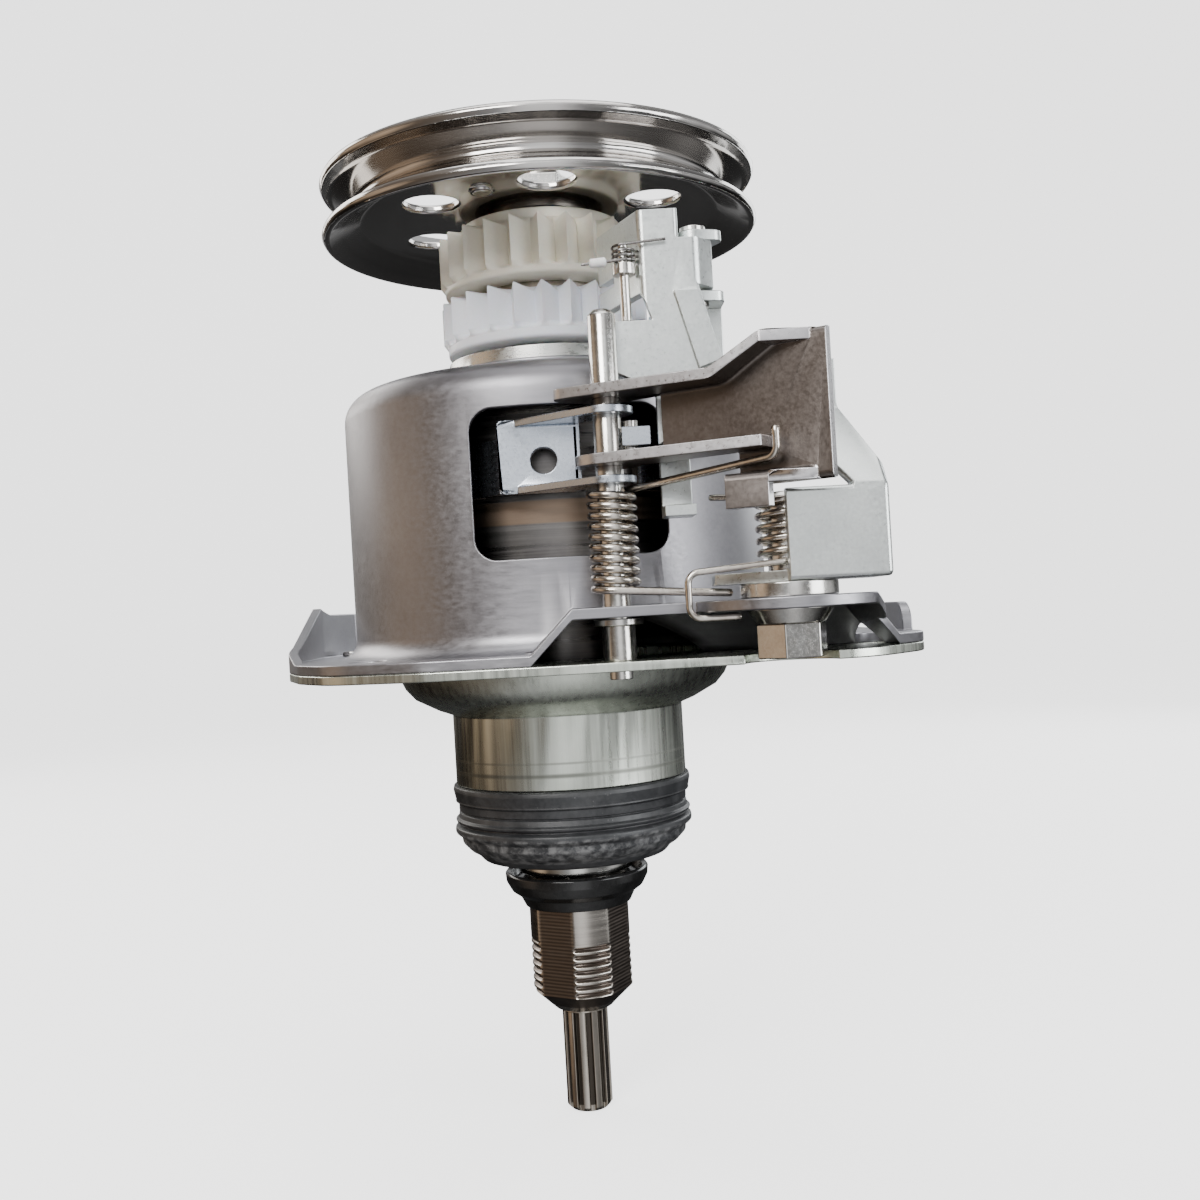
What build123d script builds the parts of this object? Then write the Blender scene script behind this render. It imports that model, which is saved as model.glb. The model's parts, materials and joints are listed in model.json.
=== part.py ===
from build123d import *
from math import cos, pi, radians, sin, sqrt, tan
import os

os.makedirs("parts", exist_ok=True)

# Two speed clutch and brake unit of a top loading washing machine, in millimetres.
# Origin on the main axis, in the plane where the round bearing seat meets the housing
# cup. +Z points to the belt pulley, +X and -Y are the side with the brake lever.

soft_gap = 0.3             # standing gap between faces that turn past each other
running_fit = 0.03         # radial play of a shaft in its bush
pin_fit = 0.05             # radial play of a pin in a sheet or a lever

# shafts and bearings
tube_r = 12.5              # spin tube, sits in the lower ball bearing
tube_bore_r = 7.5
tube_end_z = -75.0
tube_chamfer = 3.6
tube_mouth_r = 6.3
tube_mouth_l = 9.0
flat_depth = 1.1           # how deep each flat is cut
flat_turn = 58.0           # direction of the first flat, in degrees
flat_count = 4
thread_pitch = 2.0
thread_depth = 0.7
thread_l = 14.0
shaft_r = 6.0              # wash shaft and input shaft
spline_r = 5.75
spline_root_r = 4.75
spline_teeth = 11
spline_end_z = -101.0
spline_l = 25.0
spline_chamfer = 1.2
bush_l = 12.0
lip_seal_l = 4.0
lip_seal_r = 7.5
v_ring_wall = 5.5
v_ring_top = -40.6
v_ring_h = 4.8
v_ring_lip = 1.6
journal_wall = 1.7         # polished sleeve that the water seal runs on
journal_top = -18.0

lower_bearing_r = 26.0
lower_bearing_w = 15.0
lower_bearing_top = -1.0
upper_bearing_r = 23.5
upper_bearing_bore = 10.0
upper_bearing_w = 14.0
upper_bearing_bottom = 72.5
race_share = 0.24          # ring thickness as a share of the gap between bore and outside
ball_count = 9
groove_clearance = 0.12
shield_t = 0.6

# bearing housing: flange, cup and round seat, one pressed sheet
plate_z = 11.2
plate_t = 2.0
seat_r = 29.0
seat_end_z = -17.4
neck_r = 27.2
neck_end_z = -26.0
neck_lip_r = 20.0
neck_lip_t = 2.0
ledge_t = 2.0
ledge_r = 23.5
cup_r = 40.3
cup_z = 6.9
cup_mid_r = 38.0
cup_mid_z = 4.3
cup_low_r = 32.6
cup_low_z = 1.4
cup_wall = 2.0

# flange outline, seen from above
flange_left = 14.4         # how far the flange reaches past the case on each side
flange_right = 28.4
flange_side = 14.4
# outline as shares of the reach along X and of the reach along Y
left_outline_shares = ((1, 0.2727), (0.9091, 0.5606), (0.7727, 0.803), (0.4545, 0.9394), (0, 1))
right_outline_shares = ((0.8, 1), (1, 0.7273))
outline_round = 18.0
mount_hole_r = 4.3
mount_left_in = 22.0       # how far the holes lie inside the ends and the sides
mount_right_in = 10.0
mount_side_in = 26.0

# case: drawn pot with its own flange
case_r = 51.6
case_t = 2.3
case_top_z = 80.0
case_round = 7.0
case_foot_round = 4.5
collar_r = 25.5
collar_top_z = 87.6
collar_lip_r = 18.5
collar_lip_t = 1.1
collar_step = 0.7
collar_step_z = 84.4
window_left = -18.0
window_right = 24.5
window_low = 36.0
window_high = 69.0
window_round = 5.0
raised_z = 22.3            # underside of the raised part of the case flange
raised_left = 2.0
raised_right = 62.0
raised_in = 4.6            # how far it reaches behind the front of the case
ramp_run = 9.0
tongue_r = 19.0
rim_front = -30.0          # upturned rim round the left end: where it starts and how it rises
rim_low_y = -12.0
rim_low_h = 3.8
rim_peak_y = 16.0
rim_peak_h = 13.2
rim_drop_y = 22.0
rim_h = 11.5
rim_taper_y = 36.0
rim_back = 47.0
right_tab_h = 6.5
right_tab_w = 26.0
right_tab_y = -22.0
right_tab_round = 5.0

# rubber water seal below the seat
water_seal_r = 29.9
seal_top_r = 29.3
seal_bead = 1.4
seal_step_z = -27.7
seal_mid_r = 28.5
seal_mid_z = -31.7
seal_low_r = 26.0
seal_low_z = -34.4
seal_end_r = 19.5
seal_end_z = -37.5
seal_groove_1 = -23.3
seal_groove_2 = -26.1
seal_groove_w = 1.1
seal_groove_d = 1.2

# brake drum with the gears inside
drum_room = 9.3            # from the inside of the case to the drum, for the band
drum_wall = 4.0
drum_floor_z = 22.0
drum_floor_t = 3.0
drum_top_z = 69.0
drum_hub_r = 16.0
cover_t = 3.0
sleeve_r = 10.0
sleeve_low_z = 60.0
sleeve_low_r = 11.0
sleeve_step_r = 12.0
sleeve_head_r = 13.0
sleeve_head_top = 105.7
cover_screw_count = 6
cover_screw_r = 1.9
cover_screw_head_r = 3.2
cover_screw_head_h = 1.8
cover_screw_l = 9.0

module = 1.0
sun_teeth = 14
ring_wall = 7.8            # from the root of the ring's teeth to the drum, at most
planet_count = 4
addendum = 0.8
dedendum = 1.2
tooth_half_pitch = 0.55    # half thickness of a tooth at the pitch circle
tooth_half_tip = 0.28
tooth_half_root = 0.8
gear_w = 15.0
gear_z = 34.5
planet_pin_r = 3.0
carrier_t = 4.0
planet_rim = 8.0           # from the planets' centres to the edge of the carrier
carrier_ring_bore = 9.3
carrier_hub_r = 10.0

# ratchets, clutch spring and pulley
ratchet_teeth = 24
ratchet_r = 26.0
ratchet_root_r = 22.0
ratchet_bore_r = 16.1
lower_ratchet_z = 89.0
lower_ratchet_h = 13.7
lower_ratchet_floor = 2.5
upper_ratchet_z = 104.0
upper_ratchet_h = 15.2
clutch_spring_r = 15.8
clutch_spring_z = 92.0
clutch_spring_h = 26.0
pulley_r = 54.6
pulley_low_z = 118.5
pulley_h = 15.4
pulley_web_z = 123.8
pulley_web_t = 2.2
pulley_bottom_r = 46.5
pulley_bottom_w = 2.0
pulley_wall = 2.0
lip_h = 2.2
lip_in = 1.2
pulley_hole_r = 6.6
pulley_hole_at = 31.2
pulley_hole_count = 6
pulley_hole_turn = 34.0
pulley_boss_r = 2.6
pulley_boss_at = 30.0
pulley_boss_h = 1.0
pulley_boss_turn = 4.0
pulley_boss_count = 3
hub_r = 13.0
hub_low_z = 106.0
nut_af = 17.0
nut_h = 6.0
nut_washer_r = 9.5
nut_washer_t = 1.5
shaft_top_z = 137.0

# pivot pin, brake lever and band
pin_x = 11.7
pin_stand = 6.4            # from the front of the case to the middle of the pin
pin_r = 3.0
pin_top_z = 87.0
pin_chamfer = 1.2
pin_collar_r = 3.6
pin_rivet_r = 2.5
pin_rivet_low = 1.9
clip_r = 5.3
clip_t = 1.4
clip_z = 20.6
lever_turn = -35.5         # direction of the lever seen from above, in degrees
lever_t = 2.3
lever_ear_r = 7.2
lever_ear_z = 68.3
lever_ear_l = 26.5
lever_rise_l = 37.0
lever_top_z = 74.2
lever_back = 6.2           # back face of the lever's web from the pin axis
lever_tab_r = 3.0          # rounded tab that the ear has on its free side
lever_tab_back = 6.2
lever_tab_in = 5.0
lever_l = 48.6
lever_corner_l = 37.4
lever_corner_in = 1.7
lever_web_start = 11.0
lever_shelf_z = 54.0
lever_shelf_l = 36.5
lever_shelf_in = 2.0
lever_step_l = 28.5
lever_low_z = 47.0
lever_low_in = 3.0
lever_lip_l = 8.9
lever_lip_h = 4.7
offset_pin_r = 1.8
offset_pin_u = 2.8
offset_pin_v = 4.4
offset_pin_h = 7.4
offset_pin_play = 1.0
brake_wire_r = 0.85
brake_coil_r = 4.55
brake_coil_z = 27.9
brake_coil_pitch = 2.2
brake_coil_turns = 10
brake_leg_turn = -42.0     # direction of the upper leg
brake_low_leg = 23.5
brake_high_leg = 38.5
brake_hook_h = 5.5
brake_hook_r = 2.2
band_z = 50.5
band_h = 12.0
band_t = 1.2
lining_t = 2.6
band_start = -113.0
band_end = -64.0
clevis_left = -12.0
clevis_right = 6.0
clevis_low = 50.2
clevis_high = 66.4
clevis_in = 3.0
clevis_t = 1.6
clevis_ear_r = 5.6
clevis_ear_in = 4.0
clevis_hole_r = 2.9
clevis_hole_x = -2.1
clevis_hole_z = 57.2
clevis_round = 1.5
hook_w = 8.0
hook_grip = 4.0            # how far the hook laps the strip, in degrees
hook_h = 4.0
hook_z = 58.0

# bracket with its bolt, and the pawl that it carries
bolt_x = 46.5
bolt_stand = 15.4          # from the front of the case to the middle of the bolt
bolt_r = 4.0
bolt_top_z = 46.0
bolt_af = 13.0
bolt_head_z = 12.2
bolt_head_h = 7.0
cone_r = 9.0
cone_top_r = 7.0
top_washer_r = 10.0
top_washer_t = 3.0
nut_clear = 2.2
bracket_t = 2.3
bracket_left = 45.2
bracket_right = 65.8
bracket_front = 10.0       # from the bolt to the front and to the back of the foot
bracket_back = 7.0
bracket_top_z = 46.0
bracket_foot_left = 31.5
bracket_slope_left = 58.7
bracket_slope_z = 64.0
bracket_arm_low = 58.0
bracket_arm_high = 74.0
bracket_post_left = 31.2
bracket_post_right = 39.2
bracket_neck_right = 35.4  # right side of the post between its two ears
bracket_arm_right = 60.0
bracket_arm_left = 50.0
bracket_lean_z = 50.0
bracket_lug_r = 2.2        # rounded far corner of each ear
bracket_post_in = 5.3
bracket_ear_r = 3.2
bracket_round = 3.0
spring_low_z = 31.8
pawl_wire_r = 0.7
pawl_coil_r = 5.6
pawl_coil_pitch = 2.5
pawl_coil_turns = 5
pawl_leg_turn = 153.0
pawl_leg_l = 18.0
pawl_low_leg = 21.2
pawl_hook_z = 21.2
pawl_hook_l = 10.0
pawl_hook_r = 2.4
pawl_x = 33.0
pawl_in = 2.6
pawl_pin_r = 2.0
pawl_pin_head_r = 2.8
pawl_pin_head_h = 1.0
knuckle_r = 3.7
knuckle_low = 92.0
knuckle_high = 102.3
pawl_t = 2.3
plate_stand = 4.3          # from the front of the case to the front of the plate
plate_left = 14.6
plate_low_left = 22.5
plate_low_right = 29.0
plate_step_z = 74.0
plate_neck_z = 60.0
plate_top_z = 85.0
plate_right = 37.2
plate_right_z = 75.7
neck_left = 22.7
head_left = 20.8
head_top_z = 108.5
head_low_z = 90.8
cheek_end_x = 12.6         # free end of the bent side of the head
cheek_back = 15.6          # how far it reaches behind the front of the case
cheek_gap_low = 95.6
cheek_gap_high = 97.4
cheek_gap_l = 8.0
finger_x = 27.0
finger_gap_low = 97.0
finger_gap_high = 105.0
finger_low_z = 90.0
finger_high_z = 112.0
finger_back = -4.7
finger_gap_in = 15.9
toe_x = 25.9
toe_l = 2.4
foot_z = 42.6
foot_run = 7.1
rib_w = 5.2
rib_h = 1.2
rib_top = 27.5             # left corners of the rib, above and below
rib_low = 32.0
trip_pin_r = 1.1
trip_pin_h = 16.5
trip_collar_r = 2.5
trip_collar_h = 2.4
trip_coil_z = 97.7
trip_wire_r = 0.3
trip_coil_r = 2.3
trip_coil_pitch = 1.1
trip_turns = 3
trip_leg_l = 9.0
tie_rivet_head_r = 2.6
# places of the tie rivets as shares of the left end and of the side of the flange
tie_spot_shares = ((-0.87, 0.364), (0, 0.932), (0.55, 0.925), (1.12, 0.12))
tie_rivet_head_h = 1.3

# places that follow from the sizes above
flat_across = tube_r - flat_depth
journal_r = tube_r + journal_wall
v_ring_r = tube_r + v_ring_wall
left_end = case_r + flange_left
right_end = case_r + flange_right
side_y = case_r + flange_side
mount_left_x = mount_left_in - left_end
mount_right_x = right_end - mount_right_in
mount_y = side_y - mount_side_in
raised_back = raised_in - case_r
drum_r = case_r - case_t - drum_room
pin_y = -case_r - pin_stand
clevis_y = clevis_in - case_r
bolt_y = -case_r - bolt_stand
bracket_y = bolt_y - bracket_front
bracket_foot_back = bolt_y + bracket_back
bracket_slope_y = bracket_foot_back
pawl_y = pawl_in - case_r
bracket_post_y = pawl_y + bracket_post_in
plate_y = -case_r - plate_stand
finger_gap_front = plate_y + finger_gap_in
foot_front = plate_y - foot_run
flange_z = plate_z + plate_t
raised_top = raised_z + case_t
neck_z = case_top_z - case_t
sun_pitch_r = module * sun_teeth / 2
gear_room = drum_r - drum_wall - ring_wall - dedendum - sun_pitch_r
# even, so that a gap of each planet faces a tooth of the ring
planet_teeth = 2 * round(gear_room / module / 2)
ring_teeth = sun_teeth + 2 * planet_teeth
ring_pitch_r = module * ring_teeth / 2
planet_pitch_r = module * planet_teeth / 2
planet_at = sun_pitch_r + planet_pitch_r
carrier_r = planet_at + planet_rim
gear_top = gear_z + gear_w
carrier_low = gear_z - soft_gap - carrier_t
carrier_high = gear_top + soft_gap
trip_pin_x = head_left - trip_coil_r - trip_wire_r - 3 * soft_gap
cheek_y = cheek_back - case_r
pulley_top_z = pulley_low_z + pulley_h
web_top = pulley_web_z + pulley_web_t
lever_cos = cos(radians(lever_turn))
lever_sin = sin(radians(lever_turn))


def made(part, name):
    """Name one finished piece and write it."""
    part.part.label = name
    export_step(part.part, "parts/" + name + ".step")
    return part.part


def tube(r_out, r_in, low, high):
    """A plain ring or bush about the main axis."""
    with BuildPart() as body:
        with BuildSketch(Plane.XY.offset(low)):
            Circle(r_out)
            Circle(r_in, mode=Mode.SUBTRACT)
        extrude(amount=high - low)
    return body


def section(points):
    """A closed outline in the plane of the main axis from (radius, height) corners."""
    with BuildSketch(Plane.XZ) as outline:
        with BuildLine():
            Polyline(*points, close=True)
        make_face()
    return outline.sketch


def turned(points):
    """A body of revolution about the main axis from (radius, height) corners."""
    with BuildPart() as body:
        revolve(section(points), axis=Axis.Z)
    return body


def on_lever(u, v):
    """A point u along the lever and v behind it, seen from above."""
    return (pin_x + u * lever_cos - v * lever_sin, pin_y + u * lever_sin + v * lever_cos)


def gear_outline(teeth, pitch_r, outward, turn):
    """Corners of a straight flanked gear. Outward teeth are external."""
    step = 2 * pi / teeth
    tip_r = pitch_r + outward * addendum
    root_r = pitch_r - outward * dedendum
    corners = []
    for i in range(teeth):
        middle = turn + i * step
        for radius, half in (
            (root_r, -tooth_half_root),
            (pitch_r, -tooth_half_pitch),
            (tip_r, -tooth_half_tip),
            (tip_r, tooth_half_tip),
            (pitch_r, tooth_half_pitch),
            (root_r, tooth_half_root),
        ):
            angle = middle + half / radius
            corners.append((radius * cos(angle), radius * sin(angle)))
    return corners


def ratchet_outline():
    """Corners of a saw toothed wheel."""
    step = 2 * pi / ratchet_teeth
    corners = []
    for i in range(ratchet_teeth):
        angle = i * step
        corners.append((ratchet_root_r * cos(angle), ratchet_root_r * sin(angle)))
        corners.append((ratchet_r * cos(angle), ratchet_r * sin(angle)))
    return corners


def half_turns(centre, coil_r, low_z, pitch, start, turns, hand):
    """Points and directions of a helix at every half turn and at its end.
    Hand 1 climbs counterclockwise and -1 clockwise, start is in degrees."""
    stops = [i / 2 for i in range(int(turns * 2) + 1)]
    if turns - stops[-1] > 0:
        stops.append(turns)
    marks = []
    for t in stops:
        angle = radians(start) + hand * 2 * pi * t
        place = Vector(
            centre[0] + coil_r * cos(angle), centre[1] + coil_r * sin(angle), low_z + pitch * t
        )
        way = Vector(
            -hand * coil_r * sin(angle), hand * coil_r * cos(angle), pitch / (2 * pi)
        ).normalized()
        marks.append((place, way))
    return marks


def biarc(a, b):
    """The joint of the two arcs that run from mark a to mark b, and its direction."""
    (p, s), (q, e) = a, b
    chord = q - p
    both = s + e
    across = 2 * (1 - s.dot(e))
    along = chord.dot(both)
    span = chord.dot(chord)
    if abs(across) * span < 1e-9 * span:
        reach = span / (4 * chord.dot(e))
    else:
        reach = (-along + sqrt(along * along + across * span)) / across
    first = p + s * reach
    second = q - e * reach
    return (first + second) * 0.5, (second - first).normalized()


def bend(before, corner, after, radius):
    """Where an arc of the given radius leaves and meets the two runs at a corner."""
    one = (before - corner).normalized()
    two = (after - corner).normalized()
    cut = radius / tan(one.get_angle(two) * pi / 360)
    return corner + one * cut, corner + two * cut


def run_of(points, radius):
    """Lines and arcs through the corners, each corner rounded by the radius."""
    pieces = []
    start = points[0]
    for i in range(1, len(points) - 1):
        leave, meet = bend(points[i - 1], points[i], points[i + 1], radius)
        pieces.append(("line", start, leave, None))
        pieces.append(("arc", leave, meet, (points[i] - points[i - 1]).normalized()))
        start = meet
    pieces.append(("line", start, points[-1], None))
    return pieces


def wound(wire_r, pieces):
    """Sweep a round wire along the joined pieces."""
    first = pieces[0]
    way = (first[2] - first[1]).normalized() if first[0] == "line" else first[3]
    with BuildPart() as body:
        with BuildLine() as path:
            for kind, a, b, start_way in pieces:
                if kind == "line":
                    Line(a, b)
                else:
                    TangentArc(a, b, tangent=start_way)
        with BuildSketch(Plane(origin=first[1], z_dir=way)):
            Circle(wire_r)
        sweep(path=path.line)
    return body


def coil_pieces(marks):
    """Two arcs for each step between the marks of a helix."""
    pieces = []
    for a, b in zip(marks[:-1], marks[1:]):
        joint, way = biarc(a, b)
        pieces.append(("arc", a[0], joint, a[1]))
        pieces.append(("arc", joint, b[0], way))
    return pieces


def free_gap(name, centre, coil_r, pitch, wire_r):
    """Print the least gap of a coil to its next turn, measured on points of the helix."""
    count = 72
    line = [
        Vector(coil_r * cos(2 * pi * i / count), coil_r * sin(2 * pi * i / count), pitch * i / count)
        for i in range(3 * count)
    ]
    least = min(
        (line[i] - line[j]).length
        for i in range(0, count, 6)
        for j in range(i + count // 2, len(line))
    )
    print(name, "least gap between turns", round(least - 2 * wire_r, 3))


# Spin tube and what turns with it


def make_spin_tube():
    with BuildPart() as body:
        with BuildSketch(Plane.XY.offset(tube_end_z)):
            Circle(tube_r)
        extrude(amount=drum_floor_z + drum_floor_t - tube_end_z)
        chamfer(body.edges().group_by(Axis.Z)[0], tube_chamfer)
        with BuildSketch(Plane.XY.offset(tube_end_z + tube_mouth_l)):
            Circle(tube_bore_r)
        extrude(amount=drum_floor_z + drum_floor_t - tube_end_z, mode=Mode.SUBTRACT)
        with BuildSketch(Plane.XY.offset(tube_end_z)):
            Circle(tube_mouth_r)
        extrude(amount=tube_mouth_l, mode=Mode.SUBTRACT)
        # four flats for the basket hub, up to the V ring
        flat_top = v_ring_top - v_ring_h - thread_pitch
        for i in range(flat_count):
            with BuildSketch(Plane.XY.offset(tube_end_z)):
                with PolarLocations(flat_across, 1, start_angle=flat_turn + i * 360 / flat_count):
                    Rectangle(tube_r, 2 * tube_r, align=(Align.MIN, Align.CENTER))
            extrude(amount=flat_top - tube_end_z, mode=Mode.SUBTRACT)
        # thread on the rounded lands, one ring groove to each pitch
        for i in range(int(thread_l / thread_pitch)):
            z = tube_end_z + tube_chamfer + (i + 0.5) * thread_pitch
            with BuildSketch(Plane.XZ):
                with BuildLine():
                    Polyline(
                        (tube_r + thread_depth, z - thread_depth),
                        (tube_r - thread_depth, z),
                        (tube_r + thread_depth, z + thread_depth),
                        close=True,
                    )
                make_face()
            revolve(axis=Axis.Z, mode=Mode.SUBTRACT)
    return made(body, "spin_tube")


def make_brake_drum():
    floor_top = drum_floor_z + drum_floor_t
    outline = section([
        (tube_r, lower_bearing_top),
        (drum_hub_r, lower_bearing_top),
        (drum_hub_r, drum_floor_z),
        (drum_r, drum_floor_z),
        (drum_r, drum_top_z),
        (drum_r - drum_wall, drum_top_z),
        (drum_r - drum_wall, floor_top),
        (tube_r, floor_top),
    ])
    with BuildPart() as body:
        revolve(outline, axis=Axis.Z)
        with BuildSketch(Plane.XY.offset(drum_top_z - cover_screw_l + cover_t)):
            with PolarLocations(drum_r - drum_wall / 2, cover_screw_count):
                Circle(cover_screw_r)
        extrude(amount=cover_screw_l, mode=Mode.SUBTRACT)
    return made(body, "brake_drum")


def make_drum_cover():
    outline = section([
        (tube_bore_r, sleeve_low_z),
        (sleeve_low_r, sleeve_low_z),
        (sleeve_low_r, drum_top_z),
        (drum_r, drum_top_z),
        (drum_r, drum_top_z + cover_t),
        (sleeve_step_r, drum_top_z + cover_t),
        (sleeve_step_r, upper_bearing_bottom),
        (sleeve_r, upper_bearing_bottom),
        (sleeve_r, lower_ratchet_z + lower_ratchet_floor),
        (sleeve_head_r, lower_ratchet_z + lower_ratchet_floor),
        (sleeve_head_r, sleeve_head_top),
        (tube_bore_r, sleeve_head_top),
    ])
    with BuildPart() as body:
        revolve(outline, axis=Axis.Z)
        with BuildSketch(Plane.XY.offset(drum_top_z)):
            with PolarLocations(drum_r - drum_wall / 2, cover_screw_count):
                Circle(cover_screw_r)
        extrude(amount=cover_t, mode=Mode.SUBTRACT)
    return made(body, "drum_cover")


def make_cover_screws():
    cover_top = drum_top_z + cover_t
    with BuildPart() as body:
        with BuildSketch(Plane.XY.offset(cover_top - cover_screw_l)):
            with PolarLocations(drum_r - drum_wall / 2, cover_screw_count):
                Circle(cover_screw_r)
        extrude(amount=cover_screw_l)
        with BuildSketch(Plane.XY.offset(cover_top)):
            with PolarLocations(drum_r - drum_wall / 2, cover_screw_count):
                Circle(cover_screw_head_r)
        extrude(amount=cover_screw_head_h)
    return made(body, "cover_screws")


def make_bushes(name, low, high):
    with BuildPart() as body:
        for z in (low, high - bush_l):
            with BuildSketch(Plane.XY.offset(z)):
                Circle(tube_bore_r)
                Circle(shaft_r + running_fit, mode=Mode.SUBTRACT)
            extrude(amount=bush_l)
    return made(body, name)


def make_lower_ratchet():
    with BuildPart() as body:
        with BuildSketch(Plane.XY.offset(lower_ratchet_z)):
            with BuildLine():
                Polyline(*ratchet_outline(), close=True)
            make_face()
            Circle(sleeve_r, mode=Mode.SUBTRACT)
        extrude(amount=lower_ratchet_h)
        with BuildSketch(Plane.XY.offset(lower_ratchet_z + lower_ratchet_floor)):
            Circle(ratchet_bore_r)
        extrude(amount=lower_ratchet_h, mode=Mode.SUBTRACT)
    return made(body, "lower_ratchet")


def make_upper_ratchet():
    with BuildPart() as body:
        with BuildSketch(Plane.XY.offset(upper_ratchet_z)):
            with BuildLine():
                Polyline(*ratchet_outline(), close=True)
            make_face()
            Circle(ratchet_bore_r, mode=Mode.SUBTRACT)
        extrude(amount=upper_ratchet_h)
    return made(body, "upper_ratchet")


def make_bearing(name, bore, outer, low, width):
    """Outer ring with shields, inner ring and balls, each its own piece."""
    ring_t = (outer - bore) * race_share
    middle_r = (outer + bore) / 2
    middle_z = low + width / 2
    ball_r = (outer - bore) / 2 - ring_t + groove_clearance * 4
    inner_r = bore + ring_t
    outer_r = outer - ring_t
    shield_r = inner_r + soft_gap
    high = low + width
    with BuildPart() as rim:
        with BuildSketch(Plane.XZ):
            with BuildLine():
                Polyline(
                    (shield_r, low),
                    (outer, low),
                    (outer, high),
                    (shield_r, high),
                    (shield_r, high - shield_t),
                    (outer_r, high - shield_t),
                    (outer_r, low + shield_t),
                    (shield_r, low + shield_t),
                    close=True,
                )
            make_face()
            with Locations((middle_r, middle_z)):
                Circle(ball_r + groove_clearance, mode=Mode.SUBTRACT)
        revolve(axis=Axis.Z)
    made(rim, name + "_outer")
    with BuildPart() as core:
        with BuildSketch(Plane.XZ):
            with BuildLine():
                Polyline((bore, low), (inner_r, low), (inner_r, high), (bore, high), close=True)
            make_face()
            with Locations((middle_r, middle_z)):
                Circle(ball_r + groove_clearance, mode=Mode.SUBTRACT)
        revolve(axis=Axis.Z)
    made(core, name + "_inner")
    with BuildPart() as balls:
        with Locations(Pos(0, 0, middle_z)):
            with PolarLocations(middle_r, ball_count):
                Sphere(ball_r)
    made(balls, name + "_balls")


# Gears and shafts


def make_input_shaft():
    with BuildPart() as body:
        with BuildSketch(Plane.XY.offset(gear_z)):
            with BuildLine():
                Polyline(*gear_outline(sun_teeth, sun_pitch_r, 1, 0), close=True)
            make_face()
        extrude(amount=gear_w)
        with BuildSketch(Plane.XY.offset(gear_top)):
            Circle(shaft_r)
        extrude(amount=shaft_top_z - gear_top)
        chamfer(body.edges().group_by(Axis.Z)[-1], pin_chamfer)
    return made(body, "input_shaft")


def make_planet(i):
    turn = 2 * pi * i / planet_count
    tooth_turn = turn + pi - (pi - turn * sun_teeth) / planet_teeth
    with BuildPart() as body:
        with BuildSketch(Plane((planet_at * cos(turn), planet_at * sin(turn), gear_z))):
            with BuildLine():
                Polyline(*gear_outline(planet_teeth, planet_pitch_r, 1, tooth_turn), close=True)
            make_face()
            Circle(planet_pin_r + pin_fit, mode=Mode.SUBTRACT)
        extrude(amount=gear_w)
    return made(body, "planet_" + str(i + 1))


def make_ring_gear():
    with BuildPart() as body:
        with BuildSketch(Plane.XY.offset(gear_z)):
            Circle(drum_r - drum_wall)
            with BuildLine():
                Polyline(*gear_outline(ring_teeth, ring_pitch_r, -1, 0), close=True)
            make_face(mode=Mode.SUBTRACT)
        extrude(amount=gear_w)
    return made(body, "ring_gear")


def make_carrier():
    with BuildPart() as body:
        with BuildSketch(Plane.XY.offset(carrier_low)):
            Circle(carrier_r)
        extrude(amount=carrier_t)
        with BuildSketch(Plane.XY.offset(carrier_low)):
            Circle(carrier_hub_r)
        extrude(amount=-(carrier_low - drum_floor_z - drum_floor_t - soft_gap))
        with BuildSketch(Plane.XY.offset(drum_floor_z)):
            Circle(shaft_r)
        extrude(amount=gear_z - drum_floor_z, mode=Mode.SUBTRACT)
        with BuildSketch(Plane.XY.offset(carrier_low)):
            with PolarLocations(planet_at, planet_count):
                Circle(planet_pin_r)
        extrude(amount=carrier_t, mode=Mode.SUBTRACT)
    made(body, "planet_carrier")
    with BuildPart() as top:
        with BuildSketch(Plane.XY.offset(carrier_high)):
            Circle(carrier_r)
            Circle(carrier_ring_bore, mode=Mode.SUBTRACT)
            with PolarLocations(planet_at, planet_count):
                Circle(planet_pin_r, mode=Mode.SUBTRACT)
        extrude(amount=carrier_t)
    made(top, "carrier_ring")
    with BuildPart() as pins:
        with BuildSketch(Plane.XY.offset(carrier_low)):
            with PolarLocations(planet_at, planet_count):
                Circle(planet_pin_r)
        extrude(amount=carrier_high + carrier_t - carrier_low)
    made(pins, "planet_pins")


def make_wash_shaft():
    with BuildPart() as body:
        with BuildSketch(Plane.XY.offset(spline_end_z + spline_l)):
            Circle(shaft_r)
        extrude(amount=carrier_low + carrier_t - spline_end_z - spline_l)
        with BuildSketch(Plane.XY.offset(spline_end_z)):
            Circle(spline_root_r)
            tooth_w = pi * spline_r / spline_teeth
            with PolarLocations((spline_root_r + spline_r) / 2 - tooth_w / 2, spline_teeth):
                Rectangle(spline_r - spline_root_r + tooth_w, tooth_w)
            Circle(spline_r, mode=Mode.INTERSECT)
        extrude(amount=spline_l)
        with BuildSketch(Plane.XZ):
            with BuildLine():
                Polyline(
                    (0, spline_end_z),
                    (spline_r - spline_chamfer, spline_end_z),
                    (spline_r, spline_end_z + spline_chamfer),
                    (shaft_r, spline_end_z + spline_l),
                    (shaft_r, shaft_top_z),
                    (0, shaft_top_z),
                    close=True,
                )
            make_face()
        revolve(axis=Axis.Z, mode=Mode.INTERSECT)
    return made(body, "wash_shaft")


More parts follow.
